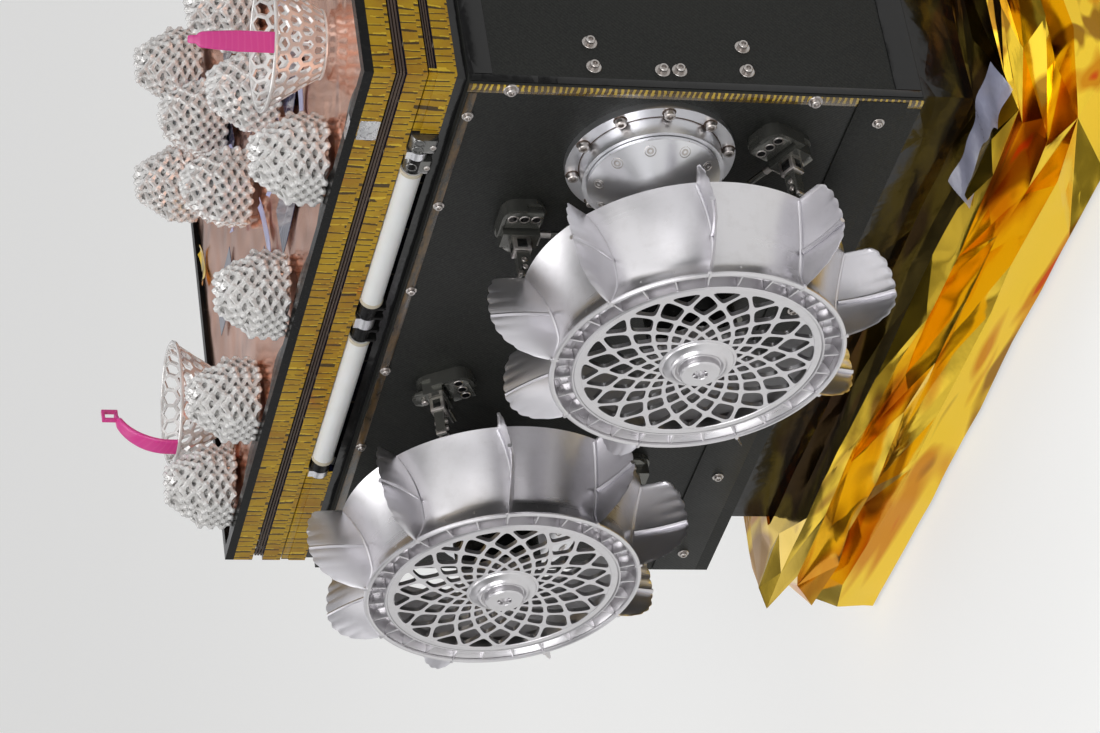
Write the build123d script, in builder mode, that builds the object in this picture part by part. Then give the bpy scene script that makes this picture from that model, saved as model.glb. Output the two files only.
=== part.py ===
"""Small planetary rover, stowed on its separation adapter.

The rover's front is +X, its right side is at -Y and +Z is up. The origin is on the
ground, under the middle of the adapter plate. All sizes are in millimetres.
"""
from build123d import *
from math import atan2, cos, degrees, hypot, radians, sin, tan
import os

os.makedirs("parts", exist_ok=True)

# Body box
body_length = 448.0
body_width = 370.0
body_height = 240.0
body_wall = 6.0
# Separation adapter under the body
base_height = 100.0
adapter_plate_thickness = 6.0
neck_inset_x = 24.0
neck_inset_y = 23.0
neck_wall = 6.0
blanket_overhang_x = 29.0
blanket_overhang_y = 27.0
blanket_top = 62.0
blanket_corner = 30.0
mount_spacing_x = 220.0
mount_spacing_y = 160.0
mount_hole_radius = 3.3
# Shoulders
shoulder_setback = 53.0
hub_z = 234.0
flange_radius = 44.3
flange_thickness = 4.0
flange_flat = 40.5
boss_radius = 37.0
boss_height = 14.0
cone_radius = 34.5
cone_ring = 2.0
cone_tip = 32.0
post_radius = 8.0
turning_gap = 0.4
# Legs, given by the hub-to-wheel distance and the stowed angle above the horizontal
leg_length = 67.0
leg_angle = 24.9
link_start = 40.0
link_thickness = 7.0
link_end_radius = 7.0
drive_radius = 24.0
drive_length = 30.0
shaft_radius = 8.0
shaft_length = 12.0
# Wheels: distances outward are measured from the side panel's outer face
wheel_start = 35.0
wheel_width = 52.0
back_rim_radius = 85.7
drum_mid_radius = 78.2
drum_mid_at = 19.0
drum_steps = 4
waist_radius = 73.5
waist_setback = 11.0
lip_radius = 77.5
tip_radius = 107.0
rim_wall = 1.3
channel_depth = 8.0
rib_count = 27
rib_thickness = 1.2
disc_radius = 65.0
disc_thickness = 2.5
# Lattice of the disc: holes in rows, each row turned by half a step from the last
hole_count = 18
lattice_edge_radius = 63.0
first_row_radius = 51.5
row_ratio = 0.8
row_count = 5
strut_width = 2.2
hub_disc_radius = 19.0
hub_disc_thickness = 9.0
boss_top_radius = 13.0
boss_rise = 2.5
cap_radius = 10.7
cap_height = 5.0
# Paddles: two thin halves that meet in a crease halfway across the wheel
paddle_count = 9
paddle_thickness = 1.6
crease_at = 27.0
crease_shift = 3.0
scallop_depth = 0.9
# Wheel launch locks
lock_radius = 85.0
lock_seat_gap = 0.5
lock_foot_width = 24.0
lock_foot_length = 32.0
lock_foot_corner = 8.0
lock_foot_offset = 6.0
lock_foot_thickness = 3.0
lock_rim_wall = 2.0
lock_rim_height = 8.0
lock_block_height = 11.0
lock_post_width = 7.0
lock_post_depth = 5.5
lock_prong_width = 1.6
lock_prong_length = 7.0
lock_rod_radius = 1.7
lock_rod_length = 22.0
lock_rod_height = 6.0
# Folded solar array on the deck
deck_band_thickness = 5.6
deck_band_inset = 3.0
array_inset = 5.0
fixed_panel_thickness = 9.9
mid_panel_gap = 5.0
mid_panel_thickness = 10.5
outer_panel_gap = 6.0
outer_panel_thickness = 11.0
outer_frame_thickness = 5.0
notch_front = 177.0
notch_rear = -131.0
notch_depth = 13.0
# Root hinge tubes along the right edge
tube_radius = 6.0
tube_pin_radius = 3.0
# Absorbers on the outer array face
absorber_radius = 24.0
absorber_height = 40.0
absorber_straight = 0.45
absorber_tip = 0.4
ring_radius = 37.0
ring_height = 32.0

half_length = body_length / 2
half_width = body_width / 2
hub_x = half_length - shoulder_setback
neck_length = body_length - 2 * neck_inset_x
neck_width = body_width - 2 * neck_inset_y
blanket_length = body_length + 2 * blanket_overhang_x
blanket_width = body_width + 2 * blanket_overhang_y
array_length = body_length
array_width = body_width - 2 * array_inset
base_z = base_height
deck_z = base_height + body_height
fixed_panel_z = deck_z + deck_band_thickness
mid_panel_z = fixed_panel_z + fixed_panel_thickness + mid_panel_gap
outer_panel_z = mid_panel_z + mid_panel_thickness + outer_panel_gap
outer_frame_z = outer_panel_z + outer_panel_thickness
outer_face_z = outer_frame_z + outer_frame_thickness
root_hinge_y = -array_width / 2 + 0.5
root_hinge_z = mid_panel_z - tube_radius - 0.5
outer_hinge_y = array_width / 2
outer_hinge_z = outer_panel_z - outer_panel_gap / 2


def write(piece, label):
    """Name one finished piece and write its file."""
    piece.label = label
    export_step(piece, f"parts/{label}.step")


def write_both_sides(right_piece, stem):
    """Write a right-hand piece and its mirror image on the left side."""
    write(right_piece, f"{stem}_right")
    write(mirror(right_piece, about=Plane.XZ), f"{stem}_left")


def side_plane(x, z, outward, turn=0.0):
    """A plane on the right side, facing outward, its own x turned from X towards Z."""
    along = (cos(radians(turn)), 0, sin(radians(turn)))
    return Plane(origin=(x, -half_width - outward, z), x_dir=along, z_dir=(0, -1, 0))


# Right and left side panels run the full length and height
with BuildPart() as side_panel:
    with BuildSketch(side_plane(0, base_z + body_height / 2, -body_wall)):
        Rectangle(body_length, body_height)
    extrude(amount=body_wall)
write_both_sides(side_panel.part, "side_panel")

# Front and rear panels close the ends between the side panels
inner_width = body_width - 2 * body_wall
for end_name, end in (("front", 1), ("rear", -1)):
    with BuildPart() as end_panel:
        with BuildSketch(Plane.YZ.offset(end * half_length)):
            with Locations((0, base_z + body_height / 2)):
                Rectangle(inner_width, body_height)
        extrude(amount=-end * body_wall)
    write(end_panel.part, f"{end_name}_panel")

# Base and deck panels lie between the four upright panels
inner_length = body_length - 2 * body_wall
for level_name, level_z in (("base_panel", base_z), ("deck_panel", deck_z - body_wall)):
    with BuildPart() as level_panel:
        with BuildSketch(Plane.XY.offset(level_z)):
            Rectangle(inner_length, inner_width)
        extrude(amount=body_wall)
    write(level_panel.part, level_name)

# Heavy electronics and battery unit standing on the base panel
unit_length = 200.0
unit_width = 180.0
unit_height = 110.0
with BuildPart() as electronics_unit:
    with BuildSketch(Plane.XY.offset(base_z + body_wall)):
        Rectangle(unit_length, unit_width)
    extrude(amount=unit_height)
write(electronics_unit.part, "electronics_unit")

# Adapter plate with its four bolt holes
with BuildPart() as adapter_plate:
    with BuildSketch():
        Rectangle(neck_length, neck_width)
        with GridLocations(mount_spacing_x, mount_spacing_y, 2, 2):
            Circle(mount_hole_radius, mode=Mode.SUBTRACT)
    extrude(amount=adapter_plate_thickness)
write(adapter_plate.part, "adapter_plate")

# Recessed neck between the adapter plate and the base panel
with BuildPart() as adapter_neck:
    with BuildSketch(Plane.XY.offset(adapter_plate_thickness)):
        Rectangle(neck_length, neck_width)
        Rectangle(neck_length - 2 * neck_wall, neck_width - 2 * neck_wall, mode=Mode.SUBTRACT)
    extrude(amount=base_z - adapter_plate_thickness)
write(adapter_neck.part, "adapter_neck")

# Thermal blanket wrapped round the neck
with BuildPart() as thermal_blanket:
    with BuildSketch(Plane.XY.offset(adapter_plate_thickness)):
        RectangleRounded(blanket_length, blanket_width, blanket_corner)
        Rectangle(neck_length, neck_width, mode=Mode.SUBTRACT)
    extrude(amount=blanket_top - adapter_plate_thickness)
write(thermal_blanket.part, "thermal_blanket")

# Black band, fixed array panel, notched for the hinge tubes
with BuildPart() as deck_band:
    with BuildSketch(Plane.XY.offset(deck_z)):
        Rectangle(array_length - 2 * deck_band_inset, array_width)
    extrude(amount=deck_band_thickness)
write(deck_band.part, "deck_band")

notch_length = notch_front - notch_rear
notch_centre = (notch_front + notch_rear) / 2
with BuildPart() as array_panel_fixed:
    with BuildSketch(Plane.XY.offset(fixed_panel_z)):
        Rectangle(array_length, array_width)
        with Locations((notch_centre, -array_width / 2)):
            Rectangle(notch_length, 2 * notch_depth, mode=Mode.SUBTRACT)
    extrude(amount=fixed_panel_thickness)
write(array_panel_fixed.part, "array_panel_fixed")

# Folding array panels
with BuildPart() as array_panel_mid:
    with BuildSketch(Plane.XY.offset(mid_panel_z)):
        Rectangle(array_length, array_width)
    extrude(amount=mid_panel_thickness)
write(array_panel_mid.part, "array_panel_mid")

with BuildPart() as array_panel_outer:
    with BuildSketch(Plane.XY.offset(outer_panel_z)):
        Rectangle(array_length, array_width)
    extrude(amount=outer_panel_thickness)
write(array_panel_outer.part, "array_panel_outer")

foil_margin = 6.0
with BuildPart() as array_frame:
    with BuildSketch(Plane.XY.offset(outer_frame_z)):
        Rectangle(array_length, array_width)
        Rectangle(array_length - 2 * foil_margin, array_width - 2 * foil_margin, mode=Mode.SUBTRACT)
    extrude(amount=outer_frame_thickness)
write(array_frame.part, "array_frame")

with BuildPart() as copper_foil:
    with BuildSketch(Plane.XY.offset(outer_frame_z)):
        Rectangle(array_length - 2 * foil_margin, array_width - 2 * foil_margin)
    extrude(amount=outer_frame_thickness - 1)
write(copper_foil.part, "copper_foil")
foil_z = outer_frame_z + outer_frame_thickness - 1

# Root hinge: fixed brackets, tubes with their pins, and the leaves of the folding panel
bracket_spans = [(160.0, 149.5), (33.0, 22.0), (13.0, 2.0), (-117.5, -125.0)]
foot_spans = [(175.5, 149.5), (33.0, 2.0), (-117.5, -130.5)]
bracket_foot_depth = 3.5
tube_spans = [(149.0, 33.5, 165.7, 17.8), (1.5, -117.0, 17.2, -130.7)]
leaf_spans = [(165.7, 160.3), (21.7, 13.3), (-125.3, -130.7)]
pin_bore_gap = 0.3
leaf_width = 8.0
bracket_clearance = 0.5


def hinge_plane(x):
    """A plane across the root hinge axis, its own x and y along Y and Z."""
    return Plane(origin=(x, root_hinge_y, root_hinge_z), x_dir=(0, 1, 0), z_dir=(1, 0, 0))


bracket_foot_height = root_hinge_z - fixed_panel_z
bracket_depth = notch_depth - 3 * bracket_clearance
with BuildPart() as hinge_brackets:
    for front_x, rear_x in bracket_spans:
        with BuildSketch(hinge_plane(rear_x)):
            Circle(tube_radius - bracket_clearance)
            with Locations((bracket_clearance + bracket_depth / 2, -bracket_foot_height / 2)):
                Rectangle(bracket_depth, bracket_foot_height)
            Circle(tube_pin_radius + pin_bore_gap, mode=Mode.SUBTRACT)
        extrude(amount=front_x - rear_x)
    # Feet lie flat on the back of the notch
    for front_x, rear_x in foot_spans:
        with BuildSketch(hinge_plane(rear_x)):
            foot_y = bracket_clearance + bracket_depth - bracket_foot_depth / 2
            with Locations((foot_y, -bracket_foot_height / 2)):
                Rectangle(bracket_foot_depth, bracket_foot_height)
        extrude(amount=front_x - rear_x)
write(hinge_brackets.part, "hinge_brackets")

# Rows: tube front end, tube rear end, pin front end, pin rear end
with BuildPart() as hinge_tube_pair:
    for tube_front, tube_rear, pin_front, pin_rear in tube_spans:
        with BuildSketch(hinge_plane(tube_rear)):
            Circle(tube_radius)
        extrude(amount=tube_front - tube_rear)
        with BuildSketch(hinge_plane(pin_rear)):
            Circle(tube_pin_radius)
        extrude(amount=pin_front - pin_rear)
write(hinge_tube_pair.part, "hinge_tubes")

with BuildPart() as root_hinge_leaves:
    for front_x, rear_x in leaf_spans:
        with BuildSketch(hinge_plane(rear_x)):
            Circle(tube_radius - bracket_clearance)
            with Locations((0, (mid_panel_z - root_hinge_z) / 2)):
                Rectangle(leaf_width, mid_panel_z - root_hinge_z)
            Circle(tube_pin_radius + pin_bore_gap, mode=Mode.SUBTRACT)
        extrude(amount=front_x - rear_x)
write(root_hinge_leaves.part, "array_hinge_root")

rib_setback = 0.8
cut_margin = 1.0
# Paddle halves: where they start across the wheel and the sheet's sideways shift there, the
# same where they end, and the outer edge as radius and distance across the wheel
first_paddle_turn = 90.0
paddle_corner_radius = 99.5
paddle_front_at = wheel_width - 0.5
paddle_halves = [
    (
        0.0, 0.0, crease_at, crease_shift,
        [
            (paddle_corner_radius, 0.0),
            (tip_radius - 2.5, crease_at * 0.32),
            (tip_radius - 0.7, crease_at * 0.65),
            (tip_radius, crease_at),
        ],
    ),
    (
        crease_at, crease_shift, paddle_front_at, 0.0,
        [
            (tip_radius, crease_at),
            (tip_radius - 3.0, crease_at + 6.0),
            (tip_radius - 9.0, crease_at + 12.0),
            (tip_radius - 17.0, crease_at + 18.5),
            (lip_radius + 1.5, paddle_front_at),
        ],
    ),
]

# Shoulder flange and boss, fixed to the side panel
for end_name, end in (("front", 1), ("rear", -1)):
    leg_turn = leg_angle + (180 if end > 0 else 0)
    wheel_x = end * hub_x + leg_length * cos(radians(leg_turn))
    wheel_z = hub_z + leg_length * sin(radians(leg_turn))

    with BuildPart() as shoulder_flange:
        # The flange is cut straight on the side that faces the wheel
        with BuildSketch(side_plane(end * hub_x, hub_z, 0, leg_turn)):
            Circle(flange_radius)
            with Locations((flange_flat + flange_radius, 0)):
                Rectangle(2 * flange_radius, 2 * flange_radius, mode=Mode.SUBTRACT)
        extrude(amount=flange_thickness)
        with BuildSketch(side_plane(end * hub_x, hub_z, flange_thickness)):
            Circle(boss_radius)
        extrude(amount=boss_height - flange_thickness)
    write_both_sides(shoulder_flange.part, f"shoulder_flange_{end_name}")

    # Turning cone with the post that carries the leg
    cone_base = boss_height + turning_gap
    with BuildPart() as shoulder_cone:
        hub_axis = Plane(
            origin=(end * hub_x, -half_width, hub_z), x_dir=(1, 0, 0), z_dir=(0, 0, -1)
        )
        with BuildSketch(hub_axis):
            with BuildLine():
                Polyline(
                    (0, cone_base),
                    (cone_radius, cone_base),
                    (cone_radius, cone_base + cone_ring),
                    (post_radius, cone_tip),
                    (post_radius, link_start),
                    (0, link_start),
                    close=True,
                )
            make_face()
        revolve(axis=Axis((end * hub_x, -half_width, hub_z), (0, -1, 0)))
    write_both_sides(shoulder_cone.part, f"shoulder_cone_{end_name}")

    # Leg link inside the wheel, with the drive housing and its output shaft
    with BuildPart() as leg:
        with BuildSketch(side_plane(end * hub_x, hub_z, link_start, leg_turn)):
            with BuildLine():
                Polyline(
                    (0, -link_end_radius),
                    (leg_length, -drive_radius),
                    (leg_length, drive_radius),
                    (0, link_end_radius),
                    close=True,
                )
            make_face()
            Circle(link_end_radius)
            with Locations((leg_length, 0)):
                Circle(drive_radius)
        extrude(amount=link_thickness)
        with BuildSketch(side_plane(wheel_x, wheel_z, link_start)):
            Circle(drive_radius)
        extrude(amount=drive_length)
        with BuildSketch(side_plane(wheel_x, wheel_z, link_start + drive_length)):
            Circle(shaft_radius)
        extrude(amount=shaft_length)
    write_both_sides(leg.part, f"leg_{end_name}")

    # Wheel rim: a solid of revolution with its paddles, then hollowed to a thin drum
    wheel_front = wheel_start + wheel_width
    waist_at = wheel_front - waist_setback
    channel_floor = wheel_front - channel_depth
    lip_slope = (lip_radius - waist_radius) / waist_setback
    channel_floor_radius = waist_radius + lip_slope * (waist_setback - channel_depth) - rim_wall
    outward = Vector(0, -1, 0)
    wheel_origin = Vector(wheel_x, -half_width, wheel_z)
    wheel_axis = Axis(wheel_origin, outward)
    wheel_section = Plane(origin=wheel_origin, x_dir=(1, 0, 0), z_dir=(0, 0, -1))
    drum_curve = ThreePointArc(
        (back_rim_radius, wheel_start),
        (drum_mid_radius, wheel_start + drum_mid_at),
        (waist_radius, waist_at),
    )
    drum_points = [drum_curve @ (step / drum_steps) for step in range(drum_steps + 1)]
    drum_inside = [point - Vector(rim_wall, 0, 0) for point in drum_points]
    with BuildPart() as wheel_rim:
        with BuildSketch(wheel_section):
            with BuildLine():
                Polyline(
                    *drum_points,
                    (lip_radius, wheel_front),
                    (0, wheel_front),
                    (0, wheel_start),
                    close=True,
                )
            make_face()
        revolve(axis=wheel_axis)

        # Each paddle is two flat halves that lean opposite ways and meet in the crease
        for index in range(paddle_count):
            turn = radians(first_paddle_turn + index * 360 / paddle_count)
            radial = Vector(cos(turn), 0, sin(turn))
            tangent = Vector(-sin(turn), 0, cos(turn))
            for base_at, base_shift, end_at, end_shift, edge in paddle_halves:
                along = outward * (end_at - base_at) - tangent * (end_shift - base_shift)
                half_plane = Plane(
                    origin=wheel_origin + outward * (wheel_start + base_at) - tangent * base_shift,
                    x_dir=radial,
                    z_dir=radial.cross(along.normalized()),
                )
                corners = [(radius, at - base_at) for radius, at in edge]
                with BuildSketch(half_plane):
                    with BuildLine():
                        for corner, next_corner in zip(corners, corners[1:]):
                            SagittaArc(corner, next_corner, -scallop_depth)
                        root = waist_radius - channel_depth
                        Polyline(corners[-1], (root, corners[-1][1]), (root, 0), corners[0])
                    make_face()
                extrude(amount=paddle_thickness / 2, both=True)

        # The inside is open from the back, and a channel runs round inside the front lip
        with BuildSketch(wheel_section):
            with BuildLine():
                Polyline(
                    *drum_inside,
                    (waist_radius - rim_wall, channel_floor - rim_wall),
                    (disc_radius, channel_floor - rim_wall),
                    (disc_radius, wheel_front),
                    (0, wheel_front),
                    (0, wheel_start - cut_margin),
                    (back_rim_radius - rim_wall, wheel_start - cut_margin),
                    close=True,
                )
            make_face()
            with BuildLine():
                Polyline(
                    (disc_radius + rim_wall, channel_floor),
                    (channel_floor_radius, channel_floor),
                    (lip_radius - rim_wall, wheel_front),
                    (disc_radius + rim_wall, wheel_front),
                    close=True,
                )
            make_face()
        revolve(axis=wheel_axis, mode=Mode.SUBTRACT)

        # Ribs across the channel
        for index in range(rib_count):
            turn = first_paddle_turn + index * 360 / rib_count
            rib_plane = Plane(
                origin=wheel_origin,
                x_dir=(cos(radians(turn)), 0, sin(radians(turn))),
                z_dir=(-sin(radians(turn)), 0, cos(radians(turn))),
            )
            with BuildSketch(rib_plane):
                with BuildLine():
                    Polyline(
                        (disc_radius + rim_wall / 2, -channel_floor + rim_wall / 2),
                        (channel_floor_radius + rim_wall / 2, -channel_floor + rim_wall / 2),
                        (lip_radius - rim_wall / 2, -wheel_front + rib_setback),
                        (disc_radius + rim_wall / 2, -wheel_front + rib_setback),
                        close=True,
                    )
                make_face()
            extrude(amount=rib_thickness / 2, both=True)
    write_both_sides(wheel_rim.part, f"wheel_rim_{end_name}")

    # Disc inside the front channel, pierced as a lattice between two sets of spiral struts
    half_step = 180 / hole_count
    strut_lean = atan2(tan(radians(half_step)), 1 / row_ratio - 1)
    edge_hole_half = (
        (lattice_edge_radius - first_row_radius) * tan(strut_lean) - strut_width / 2 / cos(strut_lean)
    )
    with BuildPart() as wheel_disc:
        with BuildSketch(side_plane(wheel_x, wheel_z, wheel_front - disc_thickness)):
            Circle(disc_radius)
            with PolarLocations(0, hole_count):
                Polygon(
                    (first_row_radius + strut_width / 2 / sin(strut_lean), 0),
                    (lattice_edge_radius, -edge_hole_half),
                    (lattice_edge_radius, edge_hole_half),
                    align=None,
                    mode=Mode.SUBTRACT,
                )
            for row in range(row_count):
                centre = first_row_radius * row_ratio**row
                reach = centre * (1 / row_ratio - row_ratio) / 2
                half_gap = centre * tan(radians(half_step))
                shrink = 1 - strut_width / 2 * hypot(reach, half_gap) / (reach * half_gap)
                row_turn = half_step if row % 2 == 0 else 0
                with PolarLocations(0, hole_count, start_angle=row_turn):
                    Polygon(
                        (centre - centre * (1 - row_ratio) * shrink, 0),
                        (centre, -half_gap * shrink),
                        (centre + centre * (1 / row_ratio - 1) * shrink, 0),
                        (centre, half_gap * shrink),
                        align=None,
                        mode=Mode.SUBTRACT,
                    )
        extrude(amount=disc_thickness)
        with BuildSketch(side_plane(wheel_x, wheel_z, wheel_front)):
            Circle(hub_disc_radius)
            Circle(shaft_radius + turning_gap, mode=Mode.SUBTRACT)
        extrude(amount=-hub_disc_thickness)
        with Locations(side_plane(wheel_x, wheel_z, wheel_front)):
            Cone(
                hub_disc_radius,
                boss_top_radius,
                boss_rise,
                align=(Align.CENTER, Align.CENTER, Align.MIN),
            )
    write_both_sides(wheel_disc.part, f"wheel_disc_{end_name}")

    with BuildPart() as wheel_cap:
        with BuildSketch(side_plane(wheel_x, wheel_z, wheel_front + boss_rise)):
            Circle(cap_radius)
        extrude(amount=cap_height)
    write_both_sides(wheel_cap.part, f"wheel_cap_{end_name}")

    # Launch locks: rows of the angle round the wheel and the side that the foot's rim takes.
    # In each, x runs outward from the wheel's centre.
    lock_places = [(90, -1), (210, -1), (330, 1)] if end > 0 else [(30, -1), (150, 1), (270, -1)]
    with BuildPart() as wheel_locks:
        for lock_turn, rim_side in lock_places:
            lock_x = wheel_x + lock_radius * cos(radians(lock_turn))
            lock_z = wheel_z + lock_radius * sin(radians(lock_turn))
            foot_centre = (0, rim_side * lock_foot_offset)
            with BuildSketch(side_plane(lock_x, lock_z, 0, lock_turn)):
                with Locations(foot_centre):
                    RectangleRounded(lock_foot_width, lock_foot_length, lock_foot_corner)
            extrude(amount=lock_foot_thickness)
            # A thin rim wall stands round the far end of the foot
            with BuildSketch(side_plane(lock_x, lock_z, lock_foot_thickness, lock_turn)):
                with Locations(foot_centre):
                    RectangleRounded(lock_foot_width, lock_foot_length, lock_foot_corner)
                    RectangleRounded(
                        lock_foot_width - 2 * lock_rim_wall,
                        lock_foot_length - 2 * lock_rim_wall,
                        lock_foot_corner - lock_rim_wall,
                        mode=Mode.SUBTRACT,
                    )
                with Locations((-lock_foot_width / 2, 0)):
                    Rectangle(lock_foot_width, 2 * lock_foot_length, mode=Mode.SUBTRACT)
                with Locations((0, -rim_side * lock_foot_length / 2)):
                    Rectangle(2 * lock_foot_width, lock_foot_length, mode=Mode.SUBTRACT)
            extrude(amount=lock_rim_height - lock_foot_thickness)
            # Block that carries the post and the release rod
            with BuildSketch(side_plane(lock_x, lock_z, lock_foot_thickness, lock_turn)):
                Rectangle(lock_foot_width - 2 * lock_rim_wall, lock_post_width + 2 * lock_rim_wall)
            extrude(amount=lock_block_height - lock_foot_thickness)
            with BuildSketch(side_plane(lock_x, lock_z, lock_block_height, lock_turn)):
                Rectangle(lock_post_width, lock_post_depth)
            extrude(amount=wheel_start - lock_seat_gap - lock_prong_length - lock_block_height)
            # Two prongs reach to the edge of the rim
            prong_start = wheel_start - lock_seat_gap - lock_prong_length
            with BuildSketch(side_plane(lock_x, lock_z, prong_start, lock_turn)):
                with GridLocations(lock_post_width - lock_prong_width, 0, 2, 1):
                    Rectangle(lock_prong_width, lock_post_depth)
            extrude(amount=lock_prong_length)
            inward = (-cos(radians(lock_turn)), 0, -sin(radians(lock_turn)))
            rod_start = (
                lock_x + inward[0] * lock_post_width,
                -half_width - lock_rod_height,
                lock_z + inward[2] * lock_post_width,
            )
            with BuildSketch(Plane(origin=rod_start, x_dir=(0, 1, 0), z_dir=inward)):
                Circle(lock_rod_radius)
            extrude(amount=lock_rod_length)
    write_both_sides(wheel_locks.part, f"wheel_locks_{end_name}")

# Absorber blocks on the outer array face: rows of x, y and turn
absorber_places = [
    (119, -153, 0), (0, -153, 0), (-100, -153, 0), (-188, -153, 0),
    (37, -41, 15), (-58, -34, 30), (4, 45, 5), (110, 25, 20),
    (60, 125, 35), (-192, 72, 12), (-158, 137, 0), (-50, 130, 22),
    (150, 125, 8), (-100, 50, 30),
]
straight_height = absorber_height * absorber_straight
absorber_inset = absorber_radius * cos(radians(30)) * (1 - absorber_tip)
absorber_taper = degrees(atan2(absorber_inset, absorber_height - straight_height))
with BuildPart() as absorber_blocks:
    for x, y, turn in absorber_places:
        with BuildSketch(Plane.XY.offset(foil_z)):
            with Locations((x, y)):
                RegularPolygon(absorber_radius, 6, rotation=turn)
        extrude(amount=straight_height)
        with BuildSketch(Plane.XY.offset(foil_z + straight_height)):
            with Locations((x, y)):
                RegularPolygon(absorber_radius, 6, rotation=turn)
        extrude(amount=absorber_height - straight_height, taper=absorber_taper)
write(absorber_blocks.part, "absorber_blocks")

# Two ring cups with flared walls: rows of x, y
ring_places = [(145, -97), (-186, -96)]
ring_wall = 3.0
ring_base_radius = 22.0
ring_rim_height = 3.0
with BuildPart() as absorber_rings:
    for x, y in ring_places:
        with BuildSketch(Plane(origin=(x, y, foil_z), x_dir=(1, 0, 0), z_dir=(0, -1, 0))):
            with BuildLine():
                Polyline(
                    (ring_base_radius - ring_wall, 0),
                    (ring_base_radius, 0),
                    (ring_radius, ring_height - ring_rim_height),
                    (ring_radius, ring_height),
                    (ring_radius - ring_wall, ring_height),
                    (ring_radius - ring_wall, ring_height - ring_rim_height),
                    close=True,
                )
            make_face()
        revolve(axis=Axis((x, y, foil_z), (0, 0, 1)))
write(absorber_rings.part, "absorber_rings")

# Array hinge between the two folding panels, and the leaves on the root tubes
outer_knuckle_radius = 2.6
outer_pin_radius = 1.3
outer_pin_gap = 0.3
outer_knuckle_length = 8.0
outer_leaf_depth = 6.0
knuckle_gap = 0.4
hinge_setback = 104.0
hinge_stations = [-half_length + hinge_setback, half_length - hinge_setback]


def outer_hinge_plane(x):
    """A plane across the outer hinge axis, its own x and y along Y and Z."""
    return Plane(origin=(x, outer_hinge_y, outer_hinge_z), x_dir=(0, 1, 0), z_dir=(1, 0, 0))


with BuildPart() as mid_hinge_leaves:
    for station in hinge_stations:
        for knuckle_start in (-1.5 * outer_knuckle_length, 0.5 * outer_knuckle_length):
            with BuildSketch(outer_hinge_plane(station + knuckle_start)):
                Circle(outer_knuckle_radius)
                with Locations((-outer_leaf_depth / 2, -outer_panel_gap / 4)):
                    Rectangle(outer_leaf_depth, outer_panel_gap / 2)
            extrude(amount=outer_knuckle_length)
        with BuildSketch(outer_hinge_plane(station - outer_knuckle_length / 2)):
            Circle(outer_pin_radius)
        extrude(amount=outer_knuckle_length)
write(mid_hinge_leaves.part, "array_hinge_mid")

with BuildPart() as outer_hinge_leaves:
    for station in hinge_stations:
        with BuildSketch(outer_hinge_plane(station - outer_knuckle_length / 2 + knuckle_gap)):
            Circle(outer_knuckle_radius)
            with Locations((-outer_leaf_depth / 2, outer_panel_gap / 4)):
                Rectangle(outer_leaf_depth, outer_panel_gap / 2)
            Circle(outer_pin_radius + outer_pin_gap, mode=Mode.SUBTRACT)
        extrude(amount=outer_knuckle_length - 2 * knuckle_gap)
write(outer_hinge_leaves.part, "array_hinge_outer")

# Pink hooks that stand on the rims of the ring cups: rows of ring, rim angle, straight
# rise, bend radius, bend angle
hook_width = 11.0
hook_thickness = 2.5
hook_places = [(0, -40, 32.0, 60.0, 12.0), (1, -80, 4.0, 30.0, 80.0)]
with BuildPart() as hooks:
    for ring, rim_angle, hook_rise, bend_radius, bend_angle in hook_places:
        ring_x, ring_y = ring_places[ring]
        rim_middle = ring_radius - ring_wall / 2
        inward = Vector(-cos(radians(rim_angle)), -sin(radians(rim_angle)), 0)
        across = Vector(-sin(radians(rim_angle)), cos(radians(rim_angle)), 0)
        hook_foot = Vector(ring_x, ring_y, foil_z + ring_height) - inward * rim_middle
        with BuildSketch(Plane(origin=hook_foot, x_dir=inward, z_dir=across)):
            with BuildLine():
                rise = Line((0, 0), (0, hook_rise))
                JernArc(rise @ 1, rise % 1, bend_radius, -bend_angle)
            trace(line_width=hook_thickness)
        extrude(amount=hook_width / 2, both=True)
write(hooks.part, "ring_hooks")
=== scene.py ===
"""Dresses the stowed planetary rover: its metal wheels, crumpled gold film, printed
absorbers, array edges and fasteners, with a plain pale stage and a camera."""

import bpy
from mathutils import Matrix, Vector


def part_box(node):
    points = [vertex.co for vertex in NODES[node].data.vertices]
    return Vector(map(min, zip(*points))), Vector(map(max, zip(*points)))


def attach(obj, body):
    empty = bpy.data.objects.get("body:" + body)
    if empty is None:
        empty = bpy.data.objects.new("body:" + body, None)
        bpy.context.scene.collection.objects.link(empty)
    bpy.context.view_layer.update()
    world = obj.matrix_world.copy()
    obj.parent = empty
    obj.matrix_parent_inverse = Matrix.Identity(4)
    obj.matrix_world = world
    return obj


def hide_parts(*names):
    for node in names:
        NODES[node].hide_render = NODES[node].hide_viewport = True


bl_info = {
    "name": "Stowed planetary rover",
    "version": (1, 0, 0),
    "blender": (4, 5, 0),
    "location": "View3D > Sidebar > Rover",
    "description": "Builds the pieces and finishes of a small folded planetary rover",
    "category": "Object",
}

import random
from math import atan2, copysign, cos, floor, hypot, pi, radians, sin

import bmesh
import bpy
from bpy.props import FloatProperty, FloatVectorProperty, IntProperty, PointerProperty
from mathutils import Matrix, Vector, noise

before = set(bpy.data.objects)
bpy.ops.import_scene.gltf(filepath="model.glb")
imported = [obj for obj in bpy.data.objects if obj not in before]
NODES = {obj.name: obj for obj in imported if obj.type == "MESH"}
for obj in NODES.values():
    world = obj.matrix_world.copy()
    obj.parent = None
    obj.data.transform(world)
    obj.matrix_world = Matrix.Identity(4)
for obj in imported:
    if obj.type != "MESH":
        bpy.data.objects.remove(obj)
MM = 0.001
CORNERS = ("front_right", "front_left", "rear_right", "rear_left")

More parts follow.
